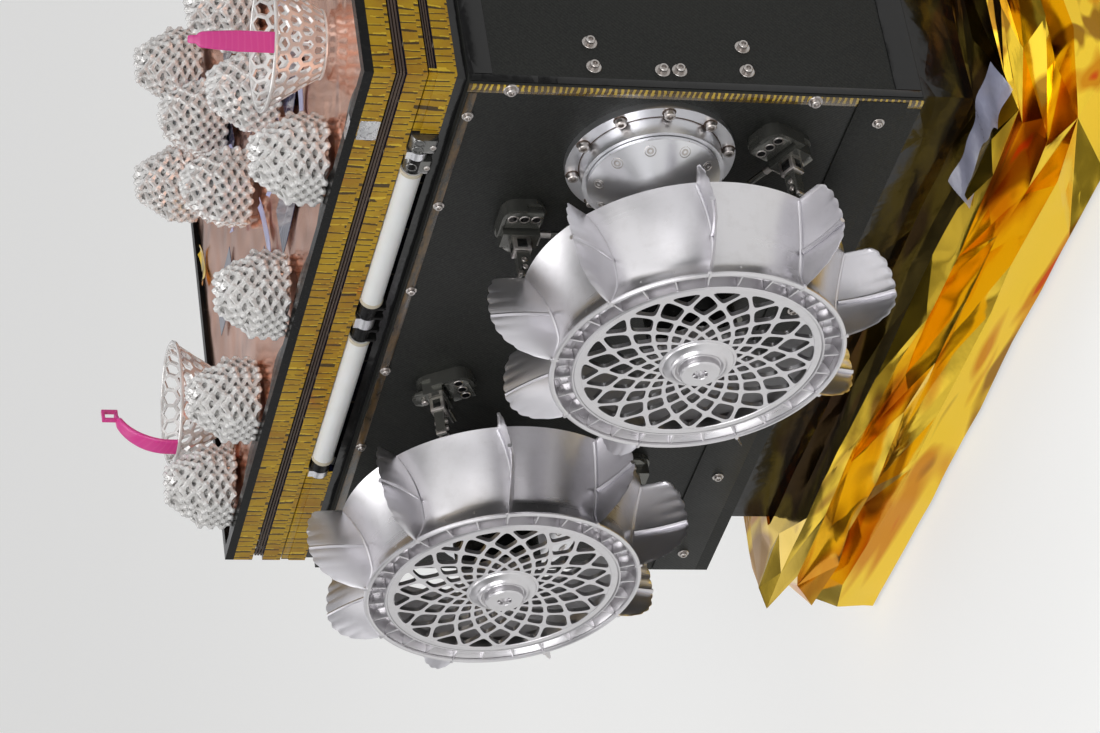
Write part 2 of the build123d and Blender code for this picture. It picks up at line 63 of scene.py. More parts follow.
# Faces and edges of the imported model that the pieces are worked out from
BODY_LOW, BODY_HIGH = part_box("side_panel_right")
SIDE_Y = BODY_LOW.y
BODY_HALF_LENGTH = BODY_HIGH.x
BODY_BOTTOM, BODY_TOP = BODY_LOW.z, BODY_HIGH.z
FOIL_LOW, FOIL_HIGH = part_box("copper_foil")
FOIL_Z = FOIL_HIGH.z
FRONT_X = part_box("front_panel")[1].x


class RoverSizes(bpy.types.PropertyGroup):
    """Sizes of the dressed pieces that a user may change"""

    drum_wall: FloatProperty(
        name="Drum wall", description="Thickness of the wheel's thin drum",
        default=1.05 * MM, unit="LENGTH",
    )
    paddle_sheet: FloatProperty(
        name="Paddle sheet", description="Thickness of the paddles' sheet metal",
        default=1.0 * MM, unit="LENGTH",
    )
    strut_width: FloatProperty(
        name="Disc strut", description="Width of the struts of the lattice disc",
        default=2.0 * MM, unit="LENGTH",
    )
    absorber_pitch: FloatProperty(
        name="Absorber pitch", description="Cell size of the printed absorbers",
        default=7.0 * MM, unit="LENGTH",
    )
    absorber_strut: FloatProperty(
        name="Absorber strut", description="Radius of the absorbers' struts",
        default=1.3 * MM, unit="LENGTH",
    )
    crumple: FloatProperty(
        name="Crumple", description="Depth of the small creases in the gold film",
        default=0.7 * MM, unit="LENGTH",
    )
    film_seed: IntProperty(
        name="Film seed", description="Seed of the folds in the films", default=11,
    )


class RoverColours(bpy.types.PropertyGroup):
    """Colours of the finishes that a user may change"""

    gold: FloatVectorProperty(
        name="Gold film", description="Colour of the gold film",
        default=(0.92, 0.62, 0.05), size=3, subtype="COLOR",
    )
    kapton: FloatVectorProperty(
        name="Edge tape", description="Colour of the amber tape on the panel edges",
        default=(0.50, 0.30, 0.004), size=3, subtype="COLOR",
    )
    copper: FloatVectorProperty(
        name="Copper film", description="Colour of the film on the outer array face",
        default=(0.92, 0.48, 0.32), size=3, subtype="COLOR",
    )
    panel: FloatVectorProperty(
        name="Body panels", description="Colour of the carbon-fibre panels",
        default=(0.016, 0.016, 0.015), size=3, subtype="COLOR",
    )
    wheel: FloatVectorProperty(
        name="Wheel metal", description="Colour of the wheels' bare metal",
        default=(0.69, 0.675, 0.69), size=3, subtype="COLOR",
    )
    hook: FloatVectorProperty(
        name="Hooks", description="Colour of the plastic hooks",
        default=(0.76, 0.06, 0.31), size=3, subtype="COLOR",
    )


# Shader maths

class Signal:
    """An output socket; Python's operators on it add Math nodes."""

    def __init__(self, shading, socket):
        self.shading = shading
        self.socket = socket

    def math(self, operation, first, second=0.0):
        return self.shading.node("ShaderNodeMath", {"operation": operation}, {0: first, 1: second})

    def __add__(self, other):
        return self.math("ADD", self, other)

    def __radd__(self, other):
        return self.math("ADD", other, self)

    def __sub__(self, other):
        return self.math("SUBTRACT", self, other)

    def __rsub__(self, other):
        return self.math("SUBTRACT", other, self)

    def __mul__(self, other):
        return self.math("MULTIPLY", self, other)

    def __rmul__(self, other):
        return self.math("MULTIPLY", other, self)

    def __truediv__(self, other):
        return self.math("DIVIDE", self, other)

    def __rtruediv__(self, other):
        return self.math("DIVIDE", other, self)

    def __pow__(self, other):
        return self.math("POWER", self, other)

    def __gt__(self, other):
        return self.math("GREATER_THAN", self, other)

    def __lt__(self, other):
        return self.math("LESS_THAN", self, other)

    def size(self):
        """The value without its sign."""
        return self.math("ABSOLUTE", self)

    def rounded(self):
        """The nearest whole number."""
        return self.math("ROUND", self)

    def wave(self):
        """A sine, from -1 to 1."""
        return self.math("SINE", self)

    def zigzag(self):
        """How far the value is from the nearest whole number, from 0 to a half."""
        return self.math("PINGPONG", self, 0.5)

    def both(self, other):
        """The smaller of two values: where both are marked."""
        return self.math("MINIMUM", self, other)

    def either(self, other):
        """The larger of two values: where either is marked."""
        return self.math("MAXIMUM", self, other)

    def ramp(self, *stops):
        """A colour or grey that follows the value through the given (place, colour) stops."""
        return self.shading.node("ShaderNodeValToRGB", {"stops": stops}, {"Fac": self})


class Shading:
    """The nodes of a material or of the world."""

    def __init__(self, owner):
        owner.use_nodes = True
        self.tree = owner.node_tree

    def node(self, kind, settings=None, links=None, output=0):
        """Add a node, apply its settings first, then fill its sockets."""
        made = self.tree.nodes.new(kind)
        for key, value in (settings or {}).items():
            if key == "stops":
                while len(made.color_ramp.elements) < len(value):
                    made.color_ramp.elements.new(1.0)
                for element, (place, colour) in zip(made.color_ramp.elements, value):
                    grey = isinstance(colour, (int, float))
                    element.position = place
                    element.color = (colour, colour, colour, 1.0) if grey else (*colour, 1.0)
            else:
                setattr(made, key, value)
        for key, value in (links or {}).items():
            self.join(made.inputs[key], value)
        return Signal(self, made.outputs[output])

    def join(self, socket, value):
        """Link a signal to a socket, or give the socket a number or a colour."""
        if isinstance(value, Signal):
            self.tree.links.new(value.socket, socket)
        elif isinstance(value, (tuple, list)) and len(value) == 3 and socket.type == "RGBA":
            socket.default_value = (*value, 1.0)
        else:
            socket.default_value = value

    def axes(self, vector):
        """The three parts of a vector as signals."""
        split = self.node("ShaderNodeSeparateXYZ", {}, {0: vector}).socket.node
        return [Signal(self, output) for output in split.outputs]

    def vector(self, x, y, z):
        """A vector put together from three signals."""
        return self.node("ShaderNodeCombineXYZ", {}, {0: x, 1: y, 2: z})

    def clouds(self, vector, scale, detail=3.0, roughness=0.55, distortion=0.0):
        """Soft cloudy noise."""
        links = {
            "Vector": vector, "Scale": scale, "Detail": detail,
            "Roughness": roughness, "Distortion": distortion,
        }
        return self.node("ShaderNodeTexNoise", {}, links)

    def cell_edges(self, vector, scale):
        """Distance from the edges of irregular cells."""
        links = {"Vector": vector, "Scale": scale}
        return self.node("ShaderNodeTexVoronoi", {"feature": "DISTANCE_TO_EDGE"}, links)

    def mix(self, amount, first, second):
        """A colour between two others."""
        links = {"Factor": amount, 6: first, 7: second}
        return self.node("ShaderNodeMix", {"data_type": "RGBA"}, links, 2)

    def ray(self, kind):
        """One where a ray of that kind looks, such as the camera's, and zero elsewhere."""
        return self.node("ShaderNodeLightPath", output=f"Is {kind} Ray")


class Finish(Shading):
    """A material round one Principled shader."""

    def __init__(self, name, colour, rough, metal=0.0, **constants):
        self.material = bpy.data.materials.new(name)
        super().__init__(self.material)
        self.shader = self.tree.nodes["Principled BSDF"]
        self.set("Base Color", (*colour, 1.0))
        self.set("Roughness", rough)
        self.set("Metallic", metal)
        for socket_name, value in constants.items():
            self.set(socket_name.replace("_", " "), value)

    def set(self, socket_name, value):
        """Give one of the shader's own sockets a value or a signal."""
        self.join(self.shader.inputs[socket_name], value)

    def place(self, centre=(0, 0, 0), scale=(1, 1, 1)):
        """Object coordinates, moved and stretched."""
        point = self.node("ShaderNodeTexCoord", output="Object")
        links = {"Vector": point, "Location": centre, "Scale": tuple(1 / part for part in scale)}
        return self.node("ShaderNodeMapping", {"vector_type": "TEXTURE"}, links)

    def relief(self, height, strength, distance):
        """Feed a height into the shader's normal."""
        links = {"Height": height, "Strength": strength, "Distance": distance}
        self.set("Normal", self.node("ShaderNodeBump", {}, links))


FINISHES = {}


def finish_of(build, *corner):
    """The material that a function builds, made the first time it is asked for."""
    name = "_".join((build.__name__, *corner))
    if name not in FINISHES:
        FINISHES[name] = build(name, *corner).material
    return FINISHES[name]


def colours():
    """The colours set in the panel."""
    return bpy.context.scene.rover_colours


def sizes():
    """The sizes set in the panel."""
    return bpy.context.scene.rover_sizes


def carbon_panel(name):
    """Matt black carbon-fibre skin: a fine weave, grey speckle and faint smears."""
    finish = Finish(name, colours().panel, 0.5, Specular_IOR_Level=0.28)
    point = finish.place()
    speckle = finish.clouds(point, 900.0, 4.0, 0.7)
    smears = finish.clouds(finish.place(scale=(1.0, 1.0, 0.35)), 14.0, 5.0, 0.62, 0.6)
    specks = speckle.ramp((0.40, 0.0), (0.72, 1.0))
    shade = finish.mix(specks, (0.006, 0.0065, 0.0055), (0.021, 0.022, 0.019))
    shade = finish.mix(smears.ramp((0.45, 0.0), (0.75, 0.45)), shade, (0.024, 0.024, 0.021))
    finish.set("Base Color", shade)
    finish.set("Roughness", 0.36 + smears * 0.3)
    x, y, z = finish.axes(point)
    weave = ((x + y) * 2600.0).wave() * (z * 2600.0).wave()
    finish.relief(weave * 0.5 + speckle, 0.16, 0.0004)
    return finish


def edge_tape(name):
    """Mustard tape over honeycomb core: dark broken lines of painted shade in the folds across the
    edge, and painted highlights beside them on the folds.
    """
    finish = Finish(name, colours().kapton, 0.3, Specular_IOR_Level=0.3)
    point = finish.place()
    x, y, z = finish.axes(point)
    sway = finish.clouds(finish.place(scale=(1.0, 1.0, 0.12)), 70.0, 2.0)
    level = (z * 62.0).rounded()
    phase = ((x + y) * 1000.0 + sway * 16.0) / 5.6 + level * 0.43
    # Dark lines: painted shade in the folds that run across the tape
    line = phase.zigzag() < 0.05 + finish.clouds(point, 600.0, 2.0) * 0.09
    broken = finish.clouds(point, 80.0, 2.0) > 0.34
    lines = line.both(broken)
    # Painted highlights on the folds, beside the lines of painted shade
    painted_highlight_phase = phase - 0.14
    lit = (painted_highlight_phase.zigzag() < 0.07).both(finish.clouds(point, 180.0, 2.0) > 0.48)
    grain = finish.clouds(finish.place(scale=(1.0, 1.0, 0.3)), 500.0, 4.0, 0.7)
    patches = finish.clouds(point, 34.0, 3.0)
    dim = patches.ramp((0.40, 0.0), (0.62, 1.0))
    amber = finish.mix(dim, tuple(colours().kapton), (0.38, 0.19, 0.003))
    amber = finish.mix(patches.ramp((0.64, 0.0), (0.70, 0.7)), amber, (0.52, 0.14, 0.006))
    shaded = finish.mix(grain.ramp((0.50, 0.0), (0.90, 0.35)), amber, (0.18, 0.09, 0.003))
    # Painted fold highlights laid over the tape's colour
    shaded = finish.mix(lit * 0.7, shaded, (0.80, 0.56, 0.04))
    # Painted fold shade laid over all
    finish.set("Base Color", finish.mix(lines * 0.92, shaded, (0.03, 0.015, 0.002)))
    finish.set("Roughness", 0.20 + grain * 0.2)
    finish.relief(grain * 0.3 - lines + lit * 0.7, 0.35, 0.0006)
    return finish


def ridge_tape(name):
    """Narrow tape down the body's front ridges: painted highlights as bright dashes on dark amber,
    strongest near the ridge.
    """
    finish = Finish(name, colours().kapton, 0.25, Coat_Weight=0.6, Coat_Roughness=0.06)
    point = finish.place()
    x, _, z = finish.axes(point)
    sway = finish.clouds(point, 130.0, 2.0)
    phase = (z * 1000.0 + sway * 3.0) / 3.2
    # Bright dashes are painted glints, stronger on the half of the strip near the ridge
    painted_glint = phase.zigzag() < 0.16 + sway * 0.10
    faded = finish.clouds(point, 26.0, 2.0).ramp((0.35, 0.15), (0.60, 1.0))
    painted_glint_near_ridge = (x > BODY_HALF_LENGTH - 4.2 * MM) * 0.75 + 0.2
    dull = finish.mix(sway, (0.10, 0.055, 0.006), (0.05, 0.028, 0.004))
    finish.set("Base Color", finish.mix(painted_glint * faded * painted_glint_near_ridge, dull, (0.66, 0.44, 0.03)))
    finish.set("Roughness", 0.14 + sway * 0.2)
    finish.relief(painted_glint + sway, 0.4, 0.0006)
    return finish


def dull_tape(name):
    """Dark, narrow tape strip along the top of the sides."""
    finish = Finish(name, (0.10, 0.055, 0.008), 0.25, Coat_Weight=0.5, Coat_Roughness=0.08)
    grain = finish.clouds(finish.place(scale=(0.3, 1.0, 1.0)), 260.0, 4.0, 0.7)
    mottle = grain.ramp((0.4, 0.0), (0.7, 1.0))
    finish.set("Base Color", finish.mix(mottle, (0.016, 0.010, 0.003), (0.12, 0.06, 0.006)))
    finish.set("Roughness", 0.15 + grain * 0.3)
    finish.relief(grain, 0.3, 0.0006)
    return finish


def panel_edges(name):
    """Amber taped edges round a panel whose flat faces carry solar cells."""
    finish = edge_tape(name)
    finish_face_colour = finish.shader.inputs["Base Color"].links[0].from_socket
    x, y, _ = finish.axes(finish.place())
    half_y = -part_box("array_panel_mid")[0].y
    half_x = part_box("array_panel_mid")[1].x
    edge = (x.size() > half_x - 0.4 * MM).either(y.size() > half_y - 0.4 * MM)
    along, across, bar = x * 25.0, y * 12.5, x * 75.0
    gap = (along.zigzag() < 0.020).either(across.zigzag() < 0.011)
    bars = bar.zigzag() < 0.018
    cells = finish.mix(bars * 0.6, (0.010, 0.013, 0.045), (0.30, 0.30, 0.33))
    face = finish.mix(gap, cells, (0.42, 0.36, 0.26))
    finish.set("Base Color", finish.mix(edge, face, Signal(finish, finish_face_colour)))
    return finish


def gold_film(name):
    """Crumpled metallised film: lemon gold, with painted reflections as amber, brown and red stripes
    along its folds.
    """
    finish = Finish(name, colours().gold, 0.14, 1.0)
    point = finish.place()
    painted_reflection_stripes = finish.clouds(finish.place(scale=(0.14, 0.5, 1.0)), 40.0, 2.0, 0.5, 0.5)
    beside = finish.place(centre=(0.7, 0.2, 0.4), scale=(0.2, 0.6, 1.0))
    brown = finish.clouds(beside, 34.0, 2.0, 0.5, 0.7)
    small = finish.clouds(point, 42.0, 3.0, 0.6)
    # Amber stripes: painted reflections of the film in its own folds
    lit = painted_reflection_stripes.ramp((0.52, 0.0), (0.60, 1.0))
    amber = finish.mix(lit, tuple(colours().gold), (0.66, 0.27, 0.015))
    # Brown bands: painted dark reflections
    amber = finish.mix(brown.ramp((0.55, 0.0), (0.61, 0.85)), amber, (0.26, 0.10, 0.012))
    # Red stripes: painted reflections between the folds
    painted_red_reflection = painted_reflection_stripes.ramp((0.635, 0.0), (0.66, 0.85))
    finish.set("Base Color", finish.mix(painted_red_reflection, amber, (0.60, 0.055, 0.012)))
    finish.set("Roughness", 0.07 + small * 0.12)
    finish.relief(small, 0.10, 0.001)
    return finish


def black_film(name):
    """Glossy black film, pulled flat with a few soft folds."""
    finish = Finish(name, (0.006, 0.006, 0.006), 0.14, Specular_IOR_Level=0.45)
    point = finish.place()
    folds = finish.cell_edges(finish.place(scale=(0.5, 0.5, 1.0)), 30.0)
    small = finish.clouds(point, 40.0, 3.0)
    finish.set("Roughness", 0.07 + small * 0.18)
    finish.relief(folds.ramp((0.0, 0.0), (0.3, 1.0)) * 0.6 + small, 0.35, 0.002)
    return finish


def copper_film(name):
    """Copper film on the outer array face: mirror-like, creased, with duller bands."""
    finish = Finish(name, colours().copper, 0.14, 1.0)
    broad = finish.clouds(finish.place(scale=(1.0, 0.5, 1.0)), 9.0, 3.0, 0.5, 0.3)
    grey = finish.clouds(finish.place(centre=(0.3, 0.5, 0.0)), 9.0, 2.0)
    tone = finish.mix(broad.ramp((0.40, 0.0), (0.66, 1.0)), tuple(colours().copper), (0.62, 0.29, 0.17))
    finish.set("Base Color", finish.mix(grey.ramp((0.60, 0.0), (0.70, 0.3)), tone, (0.55, 0.51, 0.50)))
    finish.set("Roughness", 0.07 + broad * 0.16)
    finish.relief(finish.clouds(finish.place(scale=(0.6, 1.0, 1.0)), 20.0, 2.0), 0.22, 0.002)
    return finish


def spun_metal(name, corner):
    """Bare wheel metal: fine rings round the axle, soft stains and handling marks."""
    finish = Finish(name, colours().wheel, 0.25, 1.0)
    centre = wheel_frame(corner).translation
    x, y, z = finish.axes(finish.place(centre=tuple(centre)))
    reach = (x * x + z * z) ** 0.5
    rings = finish.clouds(finish.vector(reach, y, reach * 0.0), 700.0, 5.0, 0.7)
    stains = finish.clouds(finish.place(), 22.0, 4.0, 0.6)
    fine = finish.clouds(finish.place(), 160.0, 3.0, 0.6)
    tone = finish.mix(stains, tuple(colours().wheel), (0.64, 0.63, 0.645))
    finish.set("Base Color", finish.mix(fine.ramp((0.5, 0.0), (0.8, 0.35)), tone, (0.52, 0.50, 0.50)))
    finish.set("Roughness", 0.17 + rings * 0.16 + stains * 0.10)
    finish.relief(rings + fine * 0.5, 0.12, 0.0004)
    return finish


def satin_metal(name):
    """Satin machined aluminium."""
    finish = Finish(name, (0.74, 0.74, 0.76), 0.3, 1.0)
    grain = finish.clouds(finish.place(), 240.0, 4.0)
    finish.set("Roughness", 0.2 + grain * 0.2)
    finish.relief(grain, 0.08, 0.0003)
    return finish


def turned_metal(name, corner):
    """Turned shoulder metal with rings round the shoulder's own axis."""
    finish = Finish(name, (0.72, 0.72, 0.74), 0.3, 1.0)
    low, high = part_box("shoulder_flange_" + corner)
    centre = (low + high) / 2
    x, y, z = finish.axes(finish.place(centre=tuple(centre)))
    reach = (x * x + z * z) ** 0.5
    rings = finish.clouds(finish.vector(reach, y, reach * 0.0), 900.0, 5.0, 0.7)
    finish.set("Roughness", 0.2 + rings * 0.22)
    finish.relief(rings, 0.15, 0.0003)
    return finish


def screw_steel(name):
    """Screw steel, mottled between brown and grey."""
    finish = Finish(name, (0.50, 0.48, 0.46), 0.3, 1.0)
    grime = finish.clouds(finish.place(), 420.0, 3.0)
    finish.set("Base Color", finish.mix(grime, (0.30, 0.25, 0.22), (0.62, 0.61, 0.60)))
    finish.set("Roughness", 0.2 + grime * 0.25)
    return finish


def black_metal(name):
    """Black anodised metal, glossy on its edges and flats."""
    finish = Finish(name, (0.012, 0.012, 0.011), 0.2, Specular_IOR_Level=0.12)
    grain = finish.clouds(finish.place(), 300.0, 4.0)
    dust = grain.ramp((0.5, 0.0), (0.85, 0.8))
    finish.set("Base Color", finish.mix(dust, (0.007, 0.007, 0.007), (0.022, 0.021, 0.019)))
    finish.set("Roughness", 0.14 + grain * 0.2)
    finish.relief(grain, 0.06, 0.0002)
    return finish


def printed_lattice(name):
    """Clear, silvery printed resin: grey body, wet gloss and bright glints."""
    finish = Finish(name, (0.78, 0.77, 0.75), 0.08, 0.12, Specular_IOR_Level=1.0)
    shade = finish.clouds(finish.place(), 140.0, 3.0)
    finish.set("Base Color", finish.mix(shade, (0.92, 0.91, 0.895), (0.58, 0.565, 0.545)))
    finish.set("Roughness", 0.03 + shade * 0.14)
    return finish


def pink_plastic(name):
    """Printed pink plastic with faint paler bands across it."""
    finish = Finish(name, colours().hook, 0.3, Subsurface_Weight=0.1)
    x, y, z = finish.axes(finish.place())
    tone = finish.clouds(finish.place(), 80.0, 2.0)
    bands = ((z * 1900.0 + (x - y) * 900.0 + tone * 4.0).wave() > 0.7) * 0.12
    colour = finish.mix(tone, tuple(colours().hook), (0.70, 0.045, 0.28))
    finish.set("Base Color", finish.mix(bands, colour, (0.86, 0.22, 0.46)))
    finish.relief((z * 9000.0).wave(), 0.06, 0.0002)
    return finish


def white_tube(name):
    """Smooth white plastic tube, cream in soft patches."""
    finish = Finish(name, (0.86, 0.86, 0.85), 0.32, Subsurface_Weight=0.05)
    shade = finish.clouds(finish.place(), 60.0, 3.0)
    finish.set("Base Color", finish.mix(shade, (0.88, 0.88, 0.88), (0.80, 0.79, 0.76)))
    finish.set("Roughness", 0.28 + shade * 0.15)
    return finish


def cream_ring(name):
    """Cream bearing ring."""
    finish = Finish(name, (0.62, 0.56, 0.42), 0.4)
    shade = finish.clouds(finish.place(), 300.0, 3.0)
    finish.set("Base Color", finish.mix(shade, (0.66, 0.60, 0.47), (0.52, 0.46, 0.34)))
    return finish


def grey_unit(name):
    """Plain painted box of the electronics, out of sight."""
    finish = Finish(name, (0.35, 0.36, 0.38), 0.5)
    grain = finish.clouds(finish.place(), 90.0, 3.0)
    finish.set("Roughness", 0.4 + grain * 0.2)
    return finish


def blue_cell(name):
    """Dark navy solar cell with thin pale grid lines."""
    finish = Finish(name, (0.02, 0.025, 0.09), 0.15, Coat_Weight=0.8, Coat_Roughness=0.05)
    x, y, _ = finish.axes(finish.place())
    lines = ((x * 1570.0).wave() > 0.985).either((y * 260.0).wave() > 0.997)
    finish.set("Base Color", finish.mix(lines, (0.018, 0.022, 0.085), (0.45, 0.46, 0.52)))
    return finish


def violet_tape(name):
    """Thin light blue-violet tape."""
    finish = Finish(name, (0.42, 0.43, 0.68), 0.3, Coat_Weight=0.4)
    shade = finish.clouds(finish.place(), 70.0, 3.0)
    finish.set("Base Color", finish.mix(shade, (0.50, 0.52, 0.80), (0.34, 0.34, 0.56)))
    finish.relief(shade, 0.3, 0.001)
    return finish


def silver_tape(name):
    """Creased silver tape."""
    finish = Finish(name, (0.62, 0.62, 0.63), 0.25, 0.95)
    shade = finish.clouds(finish.place(), 190.0, 4.0)
    finish.set("Roughness", 0.12 + shade * 0.3)
    finish.relief(shade, 0.9, 0.002)
    return finish


def clear_film(name):
    """Thin bluish clear film that shows what lies behind."""
    finish = Finish(name, (0.62, 0.64, 0.86), 0.12, Coat_Weight=1.0, Coat_Roughness=0.06)
    shade = finish.clouds(finish.place(), 55.0, 4.0)
    finish.set("Alpha", 0.28 + shade * 0.4)
    finish.relief(shade, 0.7, 0.002)
    return finish


def brown_gap(name):
    """Dark bronze film edges in the gaps between the array panels."""
    finish = Finish(name, (0.12, 0.085, 0.065), 0.3, 0.4)
    shade = finish.clouds(finish.place(scale=(0.15, 0.15, 1.0)), 320.0, 4.0)
    finish.set("Base Color", finish.mix(shade, (0.03, 0.018, 0.012), (0.12, 0.08, 0.06)))
    finish.set("Roughness", 0.12 + shade * 0.25)
    finish.relief(shade, 0.3, 0.0006)
    return finish


def pale_stage(name):
    """Plain pale floor: lit by itself for what looks at it, so that only the shadow shades it."""
    finish = Finish(name, (0.42, 0.42, 0.415), 0.9)
    mottle = finish.clouds(finish.place(), 3.0, 2.0)
    finish.set("Base Color", finish.mix(mottle, (0.43, 0.43, 0.425), (0.41, 0.41, 0.405)))
    seen = finish.ray("Camera").either(finish.ray("Glossy")).either(finish.ray("Transmission"))
    finish.set("Emission Color", finish.mix(seen, (0.0, 0.0, 0.0), (0.55, 0.55, 0.545)))
    finish.set("Emission Strength", 1.0)
    return finish


# Mesh helpers

def piece(name, bm, body, slot, *materials, smooth=35.0, recalculate=True):
    """Turn a bmesh into a finished piece that rides on a body."""
    if recalculate:
        bmesh.ops.recalc_face_normals(bm, faces=bm.faces)
    mesh = bpy.data.meshes.new(name)
    bm.to_mesh(mesh)
    bm.free()
    for material in materials:
        mesh.materials.append(material)
    made = bpy.data.objects.new(name, mesh)
    bpy.context.scene.collection.objects.link(made)
    mesh.polygons.foreach_set("use_smooth", [bool(smooth)] * len(mesh.polygons))
    if smooth:
        mesh.set_sharp_from_angle(angle=radians(smooth))
    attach(made, body)
    return made


def standing(place, outward, along=None):
    """A matrix whose z points outward from a place, and whose x lies along a direction."""
    z_axis = Vector(outward).normalized()
    hint = Vector(along) if along else z_axis.orthogonal()
    x_axis = (hint - z_axis * hint.dot(z_axis)).normalized()
    y_axis = z_axis.cross(x_axis)
    matrix = Matrix((x_axis, y_axis, z_axis)).transposed().to_4x4()
    matrix.translation = Vector(place)
    return matrix


def in_mm(points):
    """Points that are given in millimetres, in metres."""
    return [tuple(part * MM for part in point) for point in points]


def shift(x, y, z):
    """A matrix that moves by that much."""
    return Matrix.Translation((x, y, z))


def join_part(bm, part, matrix, shade=0):
    """Move a finished part to its place and add it to a larger mesh."""
    bmesh.ops.recalc_face_normals(part, faces=part.faces)
    for face in part.faces:
        if shade:
            face.material_index = shade
    bmesh.ops.transform(part, matrix=matrix, verts=part.verts)
    if matrix.determinant() < 0:
        bmesh.ops.reverse_faces(part, faces=part.faces)
    mesh = bpy.data.meshes.new("part")
    part.to_mesh(mesh)
    part.free()
    bm.from_mesh(mesh)
    bpy.data.meshes.remove(mesh)


def lathe(profile, steps):
    """Spin a profile of (radius, height) points a full turn about z."""
    part = bmesh.new()
    ring = [part.verts.new((max(radius, 0.0), 0, height)) for radius, height in profile]
    edges = [part.edges.new(pair) for pair in zip(ring, ring[1:] + ring[:1])]
    bmesh.ops.spin(
        part, geom=ring + edges, cent=(0, 0, 0), axis=(0, 0, 1), dvec=(0, 0, 0),
        angle=2 * pi, steps=steps, use_merge=True,
    )
    bmesh.ops.remove_doubles(part, verts=part.verts, dist=1e-6)
    return part


def block(size, round_by=0.0, segments=2):
    """A box of that size centred on the origin, its edges rounded."""
    part = bmesh.new()
    bmesh.ops.create_cube(part, size=1.0)
    bmesh.ops.scale(part, vec=size, verts=part.verts)
    if round_by:
        bmesh.ops.bevel(
            part, geom=part.edges[:], offset=round_by, segments=segments, profile=0.5,
            affect="EDGES", material=-1,
        )
    return part


def rod(start, end, radius):
    """A round bar between two points, and the matrix that puts it there."""
    start, end = Vector(start), Vector(end)
    part = bmesh.new()
    bmesh.ops.create_cone(
        part, cap_ends=True, segments=12, radius1=radius, radius2=radius, depth=(end - start).length,
    )
    return part, standing((start + end) / 2, end - start)


def sweep(sections, sides, capped=True, squareness=1.0, start=0.0):
    """A bar through rings; each section is a matrix that puts a unit ring in its place."""
    part = bmesh.new()
    rings = []
    for section in sections:
        before = len(part.edges)
        turned = Matrix.Rotation(start, 4, "Z")
        ring = bmesh.ops.create_circle(part, segments=sides, radius=1.0, matrix=turned)["verts"]
        for vert in ring:
            x, y = (copysign(abs(share) ** squareness, share) for share in vert.co.xy)
            vert.co = section @ Vector((x, y, 0))
        rings.append(part.edges[before:])
    for near, far in zip(rings, rings[1:]):
        bmesh.ops.bridge_loops(part, edges=near + far)
    if capped:
        for ring in (rings[0], rings[-1]):
            bmesh.ops.contextual_create(part, geom=ring)
    return part


def round_section(place, ahead, radius, hint=None):
    """The section of a round bar at a place, across the way it runs."""
    return standing(place, ahead, hint) @ Matrix.Diagonal((radius, radius, 1, 1))


def tube(points, radius, hint=(0, 0, 1)):
    """A round bead that follows a line of points."""
    points = [Vector(point) for point in points]
    sections = [
        round_section(point, ahead - behind, radius, hint)
        for behind, point, ahead in zip(points[:1] + points, points, points[1:] + points[-1:])
    ]
    return sweep(sections, 8)


def plate(outline, thickness, round_by=0.0):
    """A flat plate of that outline, its underside on z = 0."""
    part = bmesh.new()
    face = part.faces.new([part.verts.new((x, y, 0)) for x, y in outline])
    grown = bmesh.ops.extrude_face_region(part, geom=[face])
    lifted = [item for item in grown["geom"] if isinstance(item, bmesh.types.BMVert)]
    bmesh.ops.translate(part, vec=(0, 0, thickness), verts=lifted)
    if round_by:
        bmesh.ops.recalc_face_normals(part, faces=part.faces)
        sharp = [edge for edge in part.edges if edge.calc_face_angle(0.0) > 0.6]
        bmesh.ops.bevel(
            part, geom=sharp, offset=round_by, segments=2, profile=0.5, affect="EDGES", material=-1,
        )
    return part


def cap_screw(radius, height, washer=0.0):
    """A cap screw with a round-bottomed socket, on a washer if it has one."""
    base = 0.6 * MM if washer else 0.0
    outline = [(0.0, base + height * 0.45), (radius * 0.5, base + height * 0.45)]
    outline += [(radius * 0.54, base + height), (radius * 0.86, base + height)]
    outline += [(radius, base + height - radius * 0.16), (radius, base)]
    if washer:
        outline += [(washer * 0.96, base), (washer, base * 0.7)]
    outline += [(washer or radius, -0.3 * MM), (0.0, -0.3 * MM)]
    return lathe(outline, 18)


# Wheels, each in its own frame: x and y across the axle, z outward from the back edge

WHEEL_WIDTH = 52.0 * MM
BACK_RIM, DRUM_MID, WAIST, LIP = 85.7 * MM, 78.2 * MM, 73.5 * MM, 77.5 * MM
DRUM_MID_AT, WAIST_AT = 19.0 * MM, 41.0 * MM
CHANNEL_FLOOR = WHEEL_WIDTH - 8.0 * MM
DISC_RADIUS, LATTICE_EDGE = 65.0 * MM, 62.0 * MM
CREASE_AT, CREASE_SHIFT = 27.0 * MM, 3.0 * MM
PADDLES, RIBS = 9, 27
FIRST_PADDLE = 90.0

# Outer edge of a paddle: distance from the wheel's back edge and radius, in millimetres
PADDLE_EDGE = (
    (0.0, 99.0), (6.0, 103.8), (12.5, 106.0), (19.5, 106.9), (26.5, 107.0),
    (33.0, 106.0), (39.0, 103.0), (44.3, 97.5), (48.5, 90.0), (51.5, 80.0),
)


def wheel_frame(corner):
    """From a wheel's own frame to its place on the rover."""
    low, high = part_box("wheel_disc_" + corner)
    rim_low, rim_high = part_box("wheel_rim_" + corner)
    outward = -1 if "right" in corner else 1
    face = rim_low.y if outward < 0 else rim_high.y
    matrix = Matrix(((1, 0, 0), (0, 0, outward), (0, 1, 0))).to_4x4()
    middle = (low + high) / 2
    matrix.translation = Vector((middle.x, face - outward * WHEEL_WIDTH, middle.z))
    return matrix


def spoke(index, count):
    """The turn of one of a ring of parts, the first in line with a paddle."""
    return Matrix.Rotation(radians(FIRST_PADDLE + index * 360 / count), 4, "Z")


